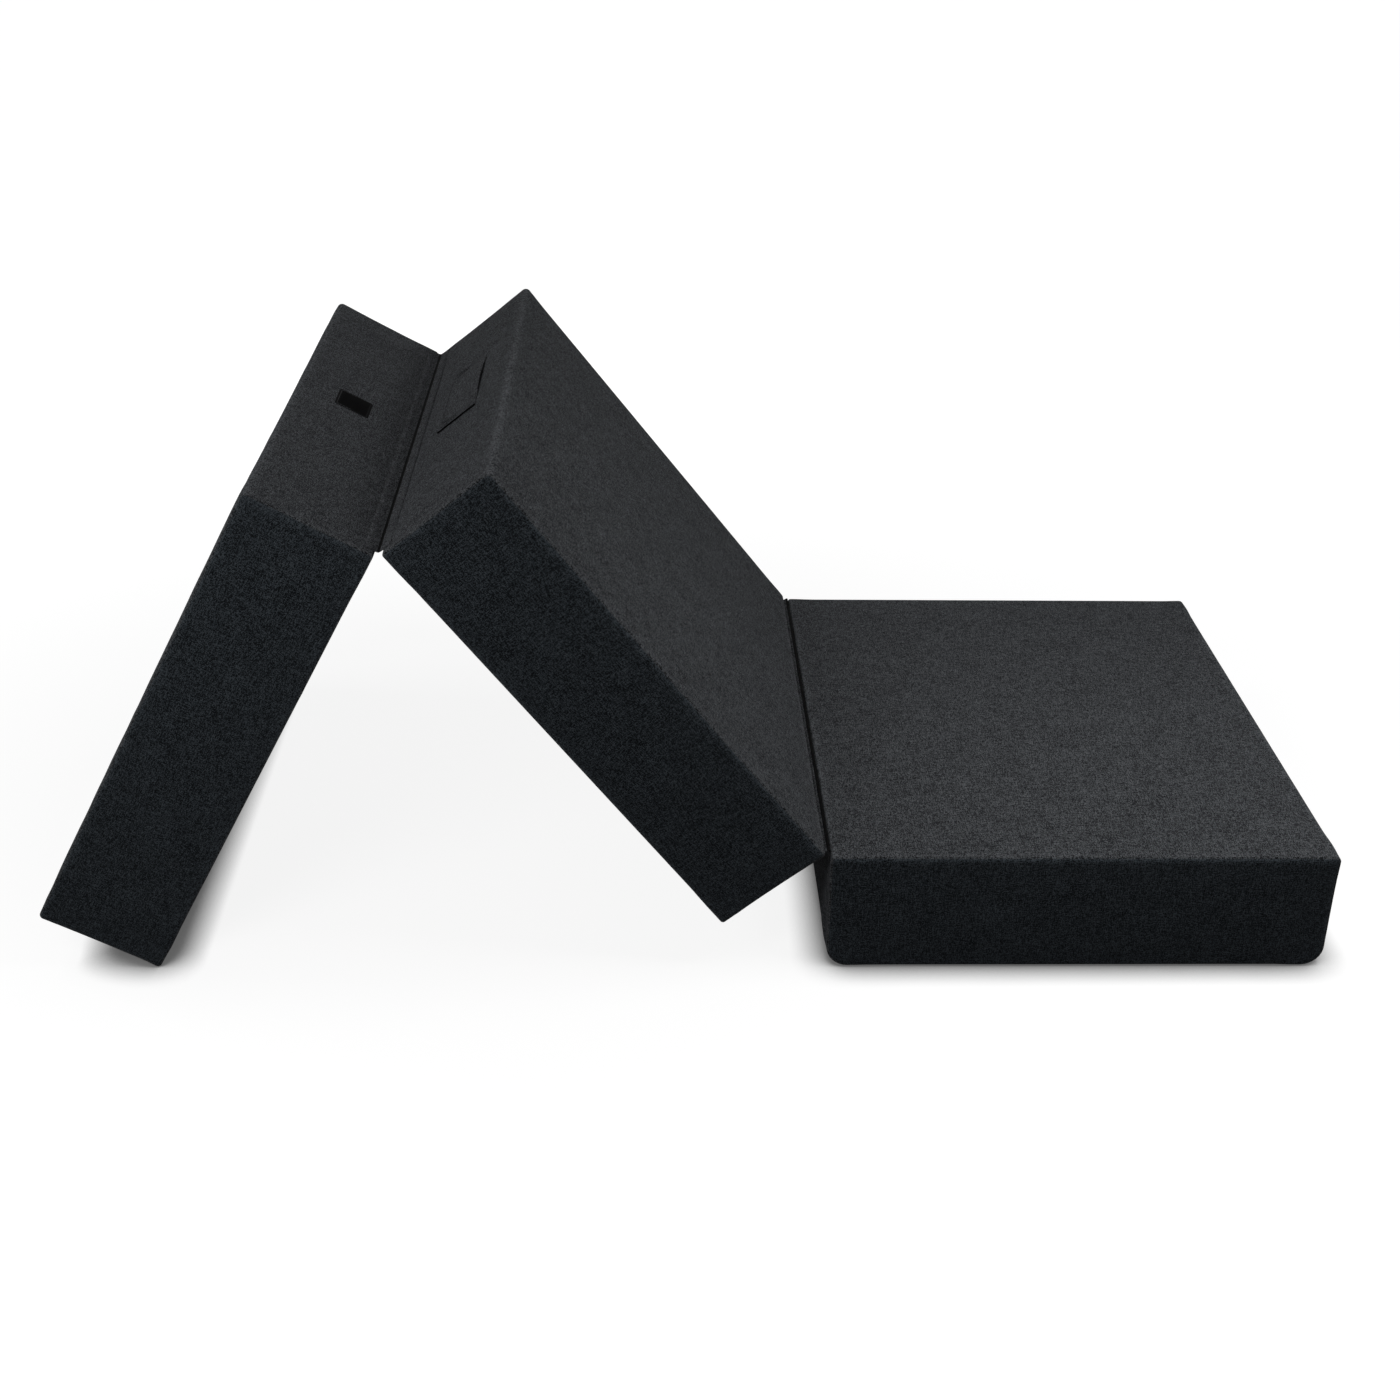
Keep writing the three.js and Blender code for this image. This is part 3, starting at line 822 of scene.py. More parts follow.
def held_back(panel, points):
    """Points whose height over the panel's long faces stays inside its half of a closed fold."""
    held = np.array(points)
    for face, sign, rise in panel.facing:
        room = rise - FACE_GAP
        over = sign * (points[:, 2] - face)
        held[:, 2] = np.where(over > 0, face + sign * room * np.tanh(over / room), held[:, 2])
    return held


def above_floor(panel, points):
    """Panel points in the shared frame, none of them under the floor."""
    placed = transformed(panel.to_world, points)
    placed[:, 2] = np.maximum(placed[:, 2], 0)
    return placed


# Lighter nap along the section's corners and seams: partly wear, partly a painted highlight where
# the rolled edges catch the light
WEAR_AND_HIGHLIGHT_REACH = 0.0068
SEAM_WEAR_AND_HIGHLIGHT = 0.95
WEAR_AND_HIGHLIGHT_FLAT = 0.002
WEAR_AND_HIGHLIGHT_MEAN, WEAR_AND_HIGHLIGHT_SPREAD, WEAR_AND_HIGHLIGHT_RATE = 0.8, 0.5, 60
# Round the zip's slot a border has no creases, and from there they fade in
SLOT_CALM, SLOT_FADE = 0.008, 0.02


def edge_wear_and_highlight(panel, points):
    """How much lighter the nap is, partly by wear and partly by a painted highlight: along the
    section's corners, and less along the seams.
    """
    from_end, from_border, from_face = from_outside(points)
    from_corner = np.clip(np.hypot(from_end, from_face) - WEAR_AND_HIGHLIGHT_FLAT, 0, 1)
    corner = np.exp(-((from_corner / WEAR_AND_HIGHLIGHT_REACH) ** 2))
    seam = np.exp(-(np.hypot(from_border, np.minimum(from_end, from_face)) / WEAR_AND_HIGHLIGHT_REACH) ** 2)
    uneven = WEAR_AND_HIGHLIGHT_MEAN + WEAR_AND_HIGHLIGHT_SPREAD * waves(points, WEAR_AND_HIGHLIGHT_RATE)
    return np.maximum(corner, SEAM_WEAR_AND_HIGHLIGHT * seam) * np.clip(uneven, 0, 1)


def build_cover(panel):
    outside, inside = sleeve(panel)
    columns, rows = len(outside[0]), len(outside) + len(inside)
    skin = np.concatenate([*outside, *inside])
    outer = held_back(panel, creased(panel, np.concatenate(outside)))
    points = above_floor(panel, np.concatenate([outer, *inside]))
    faces = grid_faces(rows, columns, wrap_rows=True, wrap_columns=True)
    *around, perimeter = lengths_round(outside[len(outside) // 2])
    # Across the rolled edges the cloth runs on by as much as it turns in
    turned_in = roll(SEAM_ANGLE * np.array(EDGE_SHARES))[0]
    unrolled = np.zeros(rows)
    unrolled[: len(turned_in)] = -turned_in
    unrolled[len(outside) - len(turned_in) : len(outside)] = turned_in[::-1]
    corners = np.array(faces)
    u = np.tile(around, rows)[corners]
    v = (skin[:, 1] + np.repeat(unrolled, columns))[corners]
    over_start = (u.max(1) - u.min(1) > perimeter / 2)[:, None] & (u < perimeter / 2)
    u = np.where(over_start, u + perimeter, u)
    # Worn nap with a painted highlight along the edges and seams
    worn_and_lit = edge_wear_and_highlight(panel, skin)[corners]
    weave = xyz(u * TO_MM, v * TO_MM, worn_and_lit).reshape(-1, 3)
    cover = piece(
        f"{panel.name}_fabric_cover", points, faces, cover_fabric, panel.name,
        weave, [f"{panel.name}_cover"],
    )


def build_borders(panel):
    for side, place in ((-1, "front"), (1, "rear")):
        front, faces, cloth = border(panel, side, slotted=side > 0)
        skin = creased(panel, front)
        if side > 0:
            from_slot = np.maximum(
                np.abs(front[:, 0]) - SLOT_HALF,
                np.abs(front[:, 2] - HALF_THICKNESS) - ZIP_SLOT / 2,
            )
            keep = np.clip((from_slot - SLOT_CALM) / SLOT_FADE, 0, 1)[:, None]
            skin = front + (skin - front) * keep
        # Its third number: worn nap with a painted highlight near the seams
        weave = xyz(*cloth.T * TO_MM, edge_wear_and_highlight(panel, front))
        skin, faces, weave = without_loose(skin, faces, weave)
        closed, faces, _ = closed_shell(skin, faces, skin + (0, -side * FABRIC_WALL, 0))
        made = piece(
            f"{panel.name}_{place}_fabric_border", above_floor(panel, closed), faces, border_fabric,
            panel.name, np.tile(weave, (2, 1)), [f"{panel.name}_{place}_border"],
        )


for panel in panels:
    simulate(panel)
for panel in panels:
    build_cover(panel)
    build_borders(panel)


# Foam layers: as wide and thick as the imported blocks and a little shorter, with the edges rounded
# that the tight cover presses in. The glued face between two layers keeps its sharp rim.

FOAM_EDGE = 0.013
FOAM_SHORT = 0.0022
FOAM_RADIUS, FOAM_LEAST = 0.006, 0.004
FOAM_TURN_STEPS = 6
FOAM_CORNER_STEPS = 5
GLUED_RADIUS = 0.0004
SHARP = math.radians(50)


def foam_section(low, high, radii, inset, glued_below):
    """Outline of a layer's section in X and Z, drawn in by `inset` except at its glued face."""
    low = np.array([low[0] + inset, low[2] + (0 if glued_below else inset)])
    high = np.array([high[0] - inset, high[2] - (inset if glued_below else 0)])
    radii = [
        GLUED_RADIUS if (index > 1) != glued_below else max(corner - inset / 2, FOAM_LEAST)
        for index, corner in enumerate(radii)
    ]
    return rounded((low + high) / 2, (high - low) / 2, radii, FOAM_CORNER_STEPS)


def foam_layer(panel, layer, material):
    node = f"{panel.name}_{layer}_foam"
    packed = transformed(panel.to_world.inverted(), points_of(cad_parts[node].data))
    low, high = packed.min(0), packed.max(0)
    glued_below = low[2] > FABRIC_WALL + FOAM_EDGE
    radii = [max(corner, FOAM_RADIUS) for corner in panel.radii]
    turn = math.pi / 2 * np.arange(FOAM_TURN_STEPS + 1) / FOAM_TURN_STEPS
    rows = []
    for end_y, inward in ((low[1], 1), (high[1], -1)):
        for angle in turn[::inward]:
            inset, depth = FOAM_EDGE * (1 - math.sin(angle)), FOAM_EDGE * (1 - math.cos(angle))
            section = foam_section(low, high, radii, inset, glued_below)
            y = end_y + inward * (depth + FOAM_SHORT)
            rows.append(xyz(section[:, 0], y, section[:, 1]))
    points, faces = np.concatenate(rows), tube_faces(len(rows), len(rows[0]))
    block = piece(
        f"{panel.name}_{layer}_foam_block", transformed(panel.to_world, points),
        outward(points, faces), material, panel.name, replaced=[node],
    )
    block.data.set_sharp_from_angle(angle=SHARP)


for panel in panels:
    foam_layer(panel, "support", support_foam)
    foam_layer(panel, "comfort", comfort_foam)


# Fold strips: a strap of cover fabric looped over each pivot, one flap sewn to each facing end.
# The loop in the bottom of each crease is painted near-black, as the crease's shade.

STRIP_THICKNESS = 0.0009
STRIP_FLAP = 0.016
STRIP_HALF = HALF_WIDTH - 0.013
STRIP_LENGTHS = 100
LOOP_STEPS = 12
FLAP_STEPS = 4
FLAP_BED = 0.0011
RIPPLE, RIPPLE_RATE = 0.00025, 40
RIPPLE_SEED, GAP_SEED = 3.7, 900


def strip_line(gap, opening, offset):
    """Section of a strip, in a frame at the pivot whose -Z runs down the middle of the opening.
    The flaps sink into the cloth they are sewn to."""
    radius = gap / 2 - CLEARANCE - STRIP_THICKNESS / 2 + offset
    lean = opening / 2
    angles = lean + (math.pi - 2 * lean) * np.arange(LOOP_STEPS + 1) / LOOP_STEPS
    loop = radius * on_circle(angles)
    flap = STRIP_FLAP * (np.arange(FLAP_STEPS, 0, -1)[:, None] / FLAP_STEPS) ** 2
    down = np.array([math.sin(lean), -math.cos(lean)])
    bedded = FLAP_BED * np.sqrt(flap / STRIP_FLAP) * (math.cos(lean), math.sin(lean))
    first = loop[0] + flap * down + bedded
    last = loop[-1] + (flap * down + bedded)[::-1] * (-1, 1)
    return np.concatenate([first, loop, last])


def fold_strip(name, node, pivot, gap, opening, tilt):
    outer = strip_line(gap, opening, STRIP_THICKNESS / 2)
    inner = strip_line(gap, opening, -STRIP_THICKNESS / 2)
    section = np.concatenate([outer, inner[::-1]])
    around, count = lengths_round(section)[:-1], len(section)
    lengths = np.linspace(-STRIP_HALF, STRIP_HALF, STRIP_LENGTHS)
    ripple = RIPPLE * waves(xyz(lengths, 0, 0), RIPPLE_RATE, (0, RIPPLE_SEED, gap * GAP_SEED))
    rows = [xyz(section[:, 0], y, section[:, 1] + rise) for y, rise in zip(lengths, ripple)]
    points = np.concatenate(rows)
    weave = xyz(np.tile(around, len(rows)), points[:, 1], 0) * TO_MM
    faces = grid_faces(len(rows), count, wrap_columns=True)
    last = (len(rows) - 1) * count
    half = len(outer)
    for k in range(half - 1):
        a, b, c, d = k, k + 1, count - 2 - k, count - 1 - k
        faces += [(d, c, b, a), (last + a, last + b, last + c, last + d)]
    to_world = pivot @ turned(tilt)
    placed = transformed(to_world, points)
    made = make_mesh(name, placed, outward(placed, faces), cover_fabric, weave)
    # The loop in the bottom of the crease takes the painted shade
    made.data.materials.append(painted_shade_fabric)
    in_shaded_loop = np.abs(np.arange(count) % half - (half - 1) / 2) <= LOOP_STEPS / 2 + 1
    for polygon in made.data.polygons:
        if all(in_shaded_loop[k % count] for k in polygon.vertices):
            polygon.material_index = 1
    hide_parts(node)
    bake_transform(made)


fold_strip(
    "fold_one_hinge_strip", "fold_one_strip", fold_one_pivot, FOLD_ONE_GAP, MIDDLE_LEAN,
    MIDDLE_LEAN / 2,
)
fold_strip(
    "fold_two_hinge_strip", "fold_two_strip", fold_two_pivot, FOLD_TWO_GAP, FOLD_TWO_OPENING,
    math.pi - FOLD_TWO_OPENING / 2,
)


# Tubes: nylon monofilament and sewing thread

# Where a path rises more steeply than this, its ring is kept level with +Y
STEEP = 0.9


def tube(path, radius, sides):
    """Points and faces of a round tube along a path."""
    path = np.asarray(path, float)
    ahead = np.gradient(path, axis=0)
    ahead /= np.linalg.norm(ahead, axis=1, keepdims=True)
    up = np.where(np.abs(ahead[:, 2:3]) > STEEP, [[0.0, 1.0, 0.0]], [[0.0, 0.0, 1.0]])
    first = np.cross(up, ahead)
    first /= np.linalg.norm(first, axis=1, keepdims=True)
    second = np.cross(ahead, first)
    angles = 2 * math.pi * np.arange(sides) / sides
    cosines, sines = np.cos(angles)[None, :, None], np.sin(angles)[None, :, None]
    rings = path[:, None] + radius * (cosines * first[:, None] + sines * second[:, None])
    points = rings.reshape(-1, 3)
    return points, outward(points - points.mean(0), tube_faces(len(path), sides))


def gathered(parts):
    """Several (points, faces) as one."""
    points, faces, first = [], [], 0
    for some_points, some_faces in parts:
        points.append(some_points)
        faces += [tuple(first + k for k in face) for face in some_faces]
        first += len(some_points)
    return np.concatenate(points), faces


STITCH_LENGTH = 0.0032
STITCH_GAP = 0.0008
THREAD_RADIUS = 0.00028
THREAD_SIDES = 5
STITCH_SHARES = (0, 0.12, 0.32, 0.68, 0.88, 1)
STITCH_RISES = (-0.6, 0.35, 0.8, 0.8, 0.35, -0.6)


def stitches(corners, surface, closed=False):
    """Stitches along straight runs. `surface` gives the point on the cloth, and its outward
    normal, for each pair of flat coordinates."""
    made = []
    runs = list(zip(corners, corners[1:] + corners[:1] if closed else corners[1:]))
    for start, finish in runs:
        start, finish = np.array(start, float), np.array(finish, float)
        length = np.linalg.norm(finish - start)
        count = max(1, round(length / (STITCH_LENGTH + STITCH_GAP)))
        step = (finish - start) / count
        cover = STITCH_LENGTH / (STITCH_LENGTH + STITCH_GAP)
        for k in range(count):
            path = []
            for share, rise in zip(STITCH_SHARES, STITCH_RISES):
                place, normal = surface(*(start + step * (k + share * cover)))
                path.append(np.asarray(place) + np.asarray(normal) * (rise * THREAD_RADIUS))
            made.append(tube(path, THREAD_RADIUS, THREAD_SIDES))
    return made


def stitched(name, parts, to_world, body):
    points, faces = gathered(parts)
    placed = transformed(to_world, points)
    return piece(name, placed, faces, thread, body, points * TO_MM)


# Zips, in a frame with X along the zip, Y out of the panel and Z across it

TAPE_THICKNESS = 0.0008
TAPE_OVERLAP = 0.009
COIL_WIDTH = 0.0028
COIL_HEIGHT = 0.0022
COIL_OVERHANG = 0.0016
SLIDER_LENGTH = 0.012
POST_LENGTH = 0.003
ZIP_ORIGIN_Y = HALF_WIDTH - FABRIC_WALL - CLEARANCE
SLIDER_X = SLOT_HALF - SLIDER_LENGTH / 2 - CLEARANCE
COIL_START = -SLOT_HALF + CLEARANCE
COIL_END = SLIDER_X + SLIDER_LENGTH / 2 - 1.5 * POST_LENGTH - CLEARANCE
COIL_PITCH = 0.0014
COIL_TURN_STEPS = 8
WIRE_RADIUS = 0.00036
WIRE_SIDES = 4
CORD_GAP = 0.00002
CORD_LENGTHS = 90
CORD_SIDES = 8
COIL_LAP = 0.0004
TAPE_LENGTHS = 120
TAPE_EDGE = 0.0002
STITCH_MARGIN = 0.0035
METAL_EDGE, JOIN_WITHIN = 0.00018, 0.00001


def coil(side):
    """One row of the zip: a monofilament wound in flattened turns round a flat filler cord."""
    turns = (COIL_END - COIL_START) / COIL_PITCH
    steps = int(turns * COIL_TURN_STEPS)
    turn = np.arange(steps + 1) / COIL_TURN_STEPS
    angle = 2 * math.pi * turn
    x = COIL_START + WIRE_RADIUS + (turn + (0.5 if side > 0 else 0)) * COIL_PITCH
    x = np.minimum(x, COIL_END - WIRE_RADIUS)
    reach = (COIL_WIDTH + COIL_LAP) / 2 - WIRE_RADIUS
    middle_z = CLEARANCE + COIL_WIDTH / 2 - COIL_LAP / 2
    z = side * (middle_z - reach * np.cos(angle))
    middle_y = CLEARANCE + COIL_HEIGHT / 2
    y = middle_y + (COIL_HEIGHT / 2 - WIRE_RADIUS) * np.sin(angle)
    wound = tube(xyz(x, y, z), WIRE_RADIUS, WIRE_SIDES)
    thick = COIL_HEIGHT / 2 - 2 * WIRE_RADIUS - CORD_GAP
    wide = reach - WIRE_RADIUS - CORD_GAP
    along = np.linspace(COIL_START + WIRE_RADIUS, COIL_END - WIRE_RADIUS, CORD_LENGTHS)
    cord_points, cord_faces = tube(xyz(along, middle_y, 0), thick, CORD_SIDES)
    cord_points[:, 2] = side * middle_z + cord_points[:, 2] * wide / thick
    return gathered([wound, (cord_points, cord_faces)])


def tape(side):
    """A woven tape with softened edges."""
    inner = CLEARANCE + COIL_WIDTH - COIL_OVERHANG
    outer = ZIP_SLOT / 2 + TAPE_OVERLAP
    half = TAPE_THICKNESS / 2
    section = [
        (inner, -half),
        (inner + TAPE_EDGE, -TAPE_EDGE / 2),
        (outer - TAPE_EDGE, -TAPE_EDGE / 2),
        (outer, -half),
        (outer - TAPE_EDGE, -TAPE_THICKNESS),
        (inner + TAPE_EDGE, -TAPE_THICKNESS),
    ]
    xs = np.linspace(-SLOT_HALF - TAPE_OVERLAP, SLOT_HALF + TAPE_OVERLAP, TAPE_LENGTHS)
    points = np.array([(x, y, side * z) for x in xs for z, y in section])
    return points, outward(points, tube_faces(len(xs), len(section)))


def build_zip(panel):
    facing = turned(0 if panel.closes_to > 0 else math.pi)
    to_world = panel.to_world @ shifted(0, ZIP_ORIGIN_Y, HALF_THICKNESS) @ facing
    name = f"{panel.name}_zip"
    for half, side in (("upper", 1), ("lower", -1)):
        turned_side = side * panel.closes_to
        points, faces = coil(turned_side)
        piece(
            f"{name}_coil_row_{half}", transformed(to_world, points), faces, zip_nylon,
            panel.name, replaced=[f"{name}_coil_{half}"],
        )
        points, faces = tape(turned_side)
        piece(
            f"{name}_woven_tape_{half}", transformed(to_world, points), faces, tape_fabric,
            panel.name, points[:, [0, 2, 1]] * (TO_MM, TO_MM, 0),
            [f"{name}_tape_{half}"], smooth=False,
        )
    lift = HALF_WIDTH - ZIP_ORIGIN_Y
    corners = rectangle(SLOT_HALF + STITCH_MARGIN, ZIP_SLOT / 2 + STITCH_MARGIN)

    def on_border(x, z):
        flat = HALF_THICKNESS + z
        return (x, lift - float(front_sag(np.array(x), np.array(flat))), z), (0, 1, 0)

    stitched(
        f"{name}_stitching", stitches(corners, on_border, closed=True), to_world,
        panel.name,
    )
    for node in ("slider", "pull"):
        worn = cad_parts[f"{name}_{node}"]
        worn.data.materials.clear()
        worn.data.materials.append(zip_metal)
        worn.modifiers.new("join", "WELD").merge_threshold = JOIN_WITHIN
        ease = worn.modifiers.new("ease", "BEVEL")
        ease.width = METAL_EDGE
        ease.segments = 2
        ease.angle_limit = SHARP


for panel in panels:
    build_zip(panel)


# Carry handle: a doubled strap, sewn flat at its ends and standing a little off between them

HANDLE_LENGTH = 0.240
HANDLE_WIDTH = 0.062
HANDLE_HEIGHT = 0.077
HANDLE_SHIFT = 0.056
HANDLE_WALL = 0.0022
HANDLE_SEWN = 0.030
HANDLE_RISE = 0.0028
LIP_LENGTH = 0.012
NEAR_LIP = 0.0010
FAR_TUCK = 0.034
HEM_WIDTH = 0.0045
HEM_RISE = 0.0005
HANDLE_ROWS = 81
HANDLE_EDGE_SHARES = (0, 0.012, 0.03, 0.05, 0.073)
HANDLE_MIDDLE_SHARES = (0.1, 0.2, 0.3, 0.4, 0.5, 0.6, 0.7, 0.8, 0.9)
HANDLE_FAR_SHARES = (0.927, 0.95, 0.97, 0.988, 1)
HANDLE_TIP_SHIFTS = (0.0007, 0.0016)
WAIST = 0.02
# Shares of the full rise at the edge next to the fold, and of the full thickness at the outer
# edges and at the tucked end
FOLD_EDGE_RISE = 0.35
THIN_EDGE = 0.45
THIN_TUCK = 0.12
RISE_POWER, LIP_POWER = 1.5, 1.6
ROUNDING = 0.0012
SEAM_IN, BOX_IN = 0.0005, 0.003
# The painted shadow lines: how close to the near tip they begin, and at which share of the half
# width
SHADE_TIP, SHADE_SHARE = 0.0001, 0.97


def from_least(least, share):
    return least + (1 - least) * share


def strap_rise(y, z):
    """How far the strap stands off the panel, and how much more the folded hem of its near end
    lifts its outer face, at a place from the strap's middle."""
    free = HANDLE_LENGTH / 2 - HANDLE_SEWN
    along = np.clip(1 - (np.abs(y) / free) ** 2, 0, 1) ** RISE_POWER
    # The edge away from the fold stands off
    across = from_least(FOLD_EDGE_RISE, np.clip(z / HANDLE_WIDTH + 0.5, 0, 1) ** 2)
    lip = np.clip((np.abs(y) - HANDLE_LENGTH / 2 + LIP_LENGTH) / LIP_LENGTH, 0, 1)
    return HANDLE_RISE * along * across, np.where(y > 0, NEAR_LIP, 0) * lip**LIP_POWER


def strap_top(y, z):
    """Height of the strap's outer face over its underside: a ridge along each hem."""
    edge = HANDLE_WIDTH / 2 - np.abs(z)
    tip = HANDLE_LENGTH / 2 - np.abs(y)
    ridges = [np.exp(-((2 * inset / HEM_WIDTH - 1) ** 2)) for inset in (edge, tip)]
    eased = np.sqrt(np.clip(np.minimum(edge, tip) / ROUNDING, 0, 1))
    wall = HANDLE_WALL - HEM_RISE + HEM_RISE * np.maximum(*ridges)
    # The far end is tucked into the cover
    tucked = np.clip((HANDLE_LENGTH / 2 + y) / FAR_TUCK, 0, 1)
    return wall * from_least(THIN_EDGE, eased) * from_least(THIN_TUCK, tucked)


def build_handle():
    """Strap frame: X out of the panel, Y along the strap towards its near end, Z across it."""
    place = shifted(-HALF_LENGTH - CLEARANCE, HANDLE_SHIFT, HANDLE_HEIGHT)
    to_world = middle.to_world @ place @ Matrix.Rotation(math.pi, 4, "Z")
    ys = np.linspace(-0.5, 0.5, HANDLE_ROWS) * HANDLE_LENGTH
    tips = [tip for shift in HANDLE_TIP_SHIFTS for tip in (ys[0] + shift, ys[-1] - shift)]
    ys = np.sort(np.concatenate([ys, tips]))
    shares = (*HANDLE_EDGE_SHARES, *HANDLE_MIDDLE_SHARES, *HANDLE_FAR_SHARES)
    zs = (np.array(shares) - 0.5) * HANDLE_WIDTH
    grid_z, grid_y = np.meshgrid(zs, ys)
    rise, lip = strap_rise(grid_y, grid_z)
    waist = 1 - WAIST * np.clip(1 - (np.abs(grid_y) / (HANDLE_LENGTH / 2)) ** 2, 0, 1)
    top = rise + lip + strap_top(grid_y, grid_z)
    upper, lower = (xyz(x, grid_y, grid_z * waist).reshape(-1, 3) for x in (top, rise))
    points, faces, rim = closed_shell(upper, grid_faces(len(ys), len(zs)), lower)
    faces = outward(points, faces)
    weave = points[:, [1, 2, 0]] * (TO_MM, TO_MM, 0)
    strap = piece(
        "carry_handle_strap", transformed(to_world, points), faces, cover_fabric, "middle",
        weave, ["carry_handle"],
    )
    # Near-black painted shadow lines round the near end and along the edge that stands off, where
    # the raised strap throws shade
    strap.data.materials.append(painted_shade_fabric)
    at_end, at_edge = points[:, 1] > ys[-2] - SHADE_TIP, points[:, 2] > SHADE_SHARE * zs[-1]
    rims = {frozenset(face) for face in rim}
    for polygon in strap.data.polygons:
        corners = list(polygon.vertices)
        if at_end[corners].all() or (at_edge[corners].all() and frozenset(corners) in rims):
            polygon.material_index = 1

    def on_strap(y, z):
        place_y, place_z = np.array(y), np.array(z)
        height = sum(strap_rise(place_y, place_z)) + strap_top(place_y, place_z)
        return (float(height), y, z), (1, 0, 0)

    half_y, half_z = HANDLE_LENGTH / 2 - LIP_LENGTH, HANDLE_WIDTH / 2 - HEM_WIDTH - SEAM_IN
    inner_y = HANDLE_LENGTH / 2 - HANDLE_SEWN + BOX_IN
    lines = [[(-half_y, side * half_z), (half_y, side * half_z)] for side in (-1, 1)]
    for side in (-1, 1):
        tip, inner = side * half_y, side * inner_y
        a, b, c, d = (tip, -half_z), (tip, half_z), (inner, half_z), (inner, -half_z)
        lines += [[a, b], [c, d], [a, c], [b, d]]
    seams = stitched(
        "carry_handle_stitching", [part for line in lines for part in stitches(line, on_strap)],
        to_world, "middle",
    )
    for soft in (strap, seams):
        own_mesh(soft)


build_handle()


# Hook patch: a rounded base tape with a field of small bent hooks, sewn round its edge

PATCH_LENGTH = 0.058
PATCH_WIDTH = 0.047
PATCH_HEIGHT = 0.085
PATCH_SHIFT = 0.0225
PATCH_BASE = 0.0009
PATCH_RADIUS, PATCH_LEAST, PATCH_STEPS = 0.004, 0.0004, 4
PATCH_SEAM = 0.003
PATCH_SEWN = 0.82
# Rings of the backing: how far each is drawn in, and its share of the backing's height
PATCH_LAYERS = (
    (0, 0.0), (0.0002, 0.6), (0.0005, 0.95), (0.0012, 1.0), (PATCH_SEAM, PATCH_SEWN),
    (PATCH_SEAM + 0.0012, 1.0),
)
HOOK_MARGIN = 0.0022
HOOK_SPACING = 0.0019
HOOK_RISE = 0.0013
HOOK_RADIUS = 0.00022
HOOK_SIDES = 4
HOOK_FOOT = 0.9
# From a hook's shaft to its tip: how far each point is below the top, how far it leans over, and
# how much of the sideways stray it takes
HOOK_BENDS = ((0.0005, 0, 0), (0, 0.0003, 1), (0.0003, 0.0008, 1))
STRAY, STRAY_RATE = 0.0002, 900


def build_patch():
    """Patch frame: X out of the panel, Y along its longer side, Z across it."""
    to_world = end.to_world @ shifted(HALF_LENGTH + CLEARANCE, PATCH_SHIFT, PATCH_HEIGHT)
    rings = []
    for inset, height in PATCH_LAYERS:
        half = PATCH_LENGTH / 2 - inset, PATCH_WIDTH / 2 - inset
        radii = [max(PATCH_RADIUS - inset, PATCH_LEAST)] * 4
        outline = rounded((0, 0), half, radii, PATCH_STEPS)
        rings.append(xyz(height * PATCH_BASE, *outline.T))
    points = np.concatenate(rings)
    faces = outward(points, tube_faces(len(rings), len(rings[0])))
    piece(
        "hook_patch_backing", transformed(to_world, points), faces, hook_nylon, "end",
        replaced=["hook_patch"], smooth=False,
    )
    seam_y, seam_z = PATCH_LENGTH / 2 - PATCH_SEAM, PATCH_WIDTH / 2 - PATCH_SEAM
    field_y, field_z = seam_y - HOOK_MARGIN, seam_z - HOOK_MARGIN
    hooks = []
    for row, z in enumerate(np.arange(-field_z, field_z, HOOK_SPACING)):
        lean = 1 if row % 2 else -1
        for y in np.arange(-field_y + (row % 2) * HOOK_SPACING / 2, field_y, HOOK_SPACING):
            stray = STRAY * waves([(y, z, 0)], STRAY_RATE)[0]
            path = [(PATCH_BASE * HOOK_FOOT, y, z)]
            for drop, reach, sway in HOOK_BENDS:
                x = PATCH_BASE + HOOK_RISE - drop
                path.append((x, y + lean * reach + stray, z + sway * stray))
            hooks.append(tube(path, HOOK_RADIUS, HOOK_SIDES))
    hook_points, hook_faces = gathered(hooks)
    piece(
        "hook_patch_hooks", transformed(to_world, hook_points), hook_faces, hook_nylon, "end",
    )
    seam_x = PATCH_BASE * PATCH_SEWN
    sewn = stitches(
        rectangle(seam_y, seam_z), lambda y, z: ((seam_x, y, z), (1, 0, 0)), closed=True
    )
    stitched("hook_patch_stitching", sewn, to_world, "end")


build_patch()


# Stage and light

FLOOR_SIZE = 40.0
STAGE_MIDDLE = (-0.48, 0.0)
STAGE_STRETCH = (0.8, 1, 0)
FLOOR_GLOW = 0.89
# Painted contact shadow: where the object shuts in the floor, between these two shares of open sky,
# the glow falls
CONTACT_SHADOW_SKY = (0.42, 0.97)
# The floor's glow in the darkest part of the painted contact shadow
CONTACT_SHADOW_GLOW = 0.1
CONTACT_REACH = 0.048
SKY_LIGHT = 0.03
# Distances from the stage's middle between which the floor goes over into the white round it
FADE_TO_WHITE = (0.7, 1.6)
# The floor's colour as the camera sees it, and as it throws light back on the object
FLOOR_SEEN, FLOOR_UNSEEN = (0.2, 0.2, 0.2, 1), (0.3, 0.3, 0.3, 1)


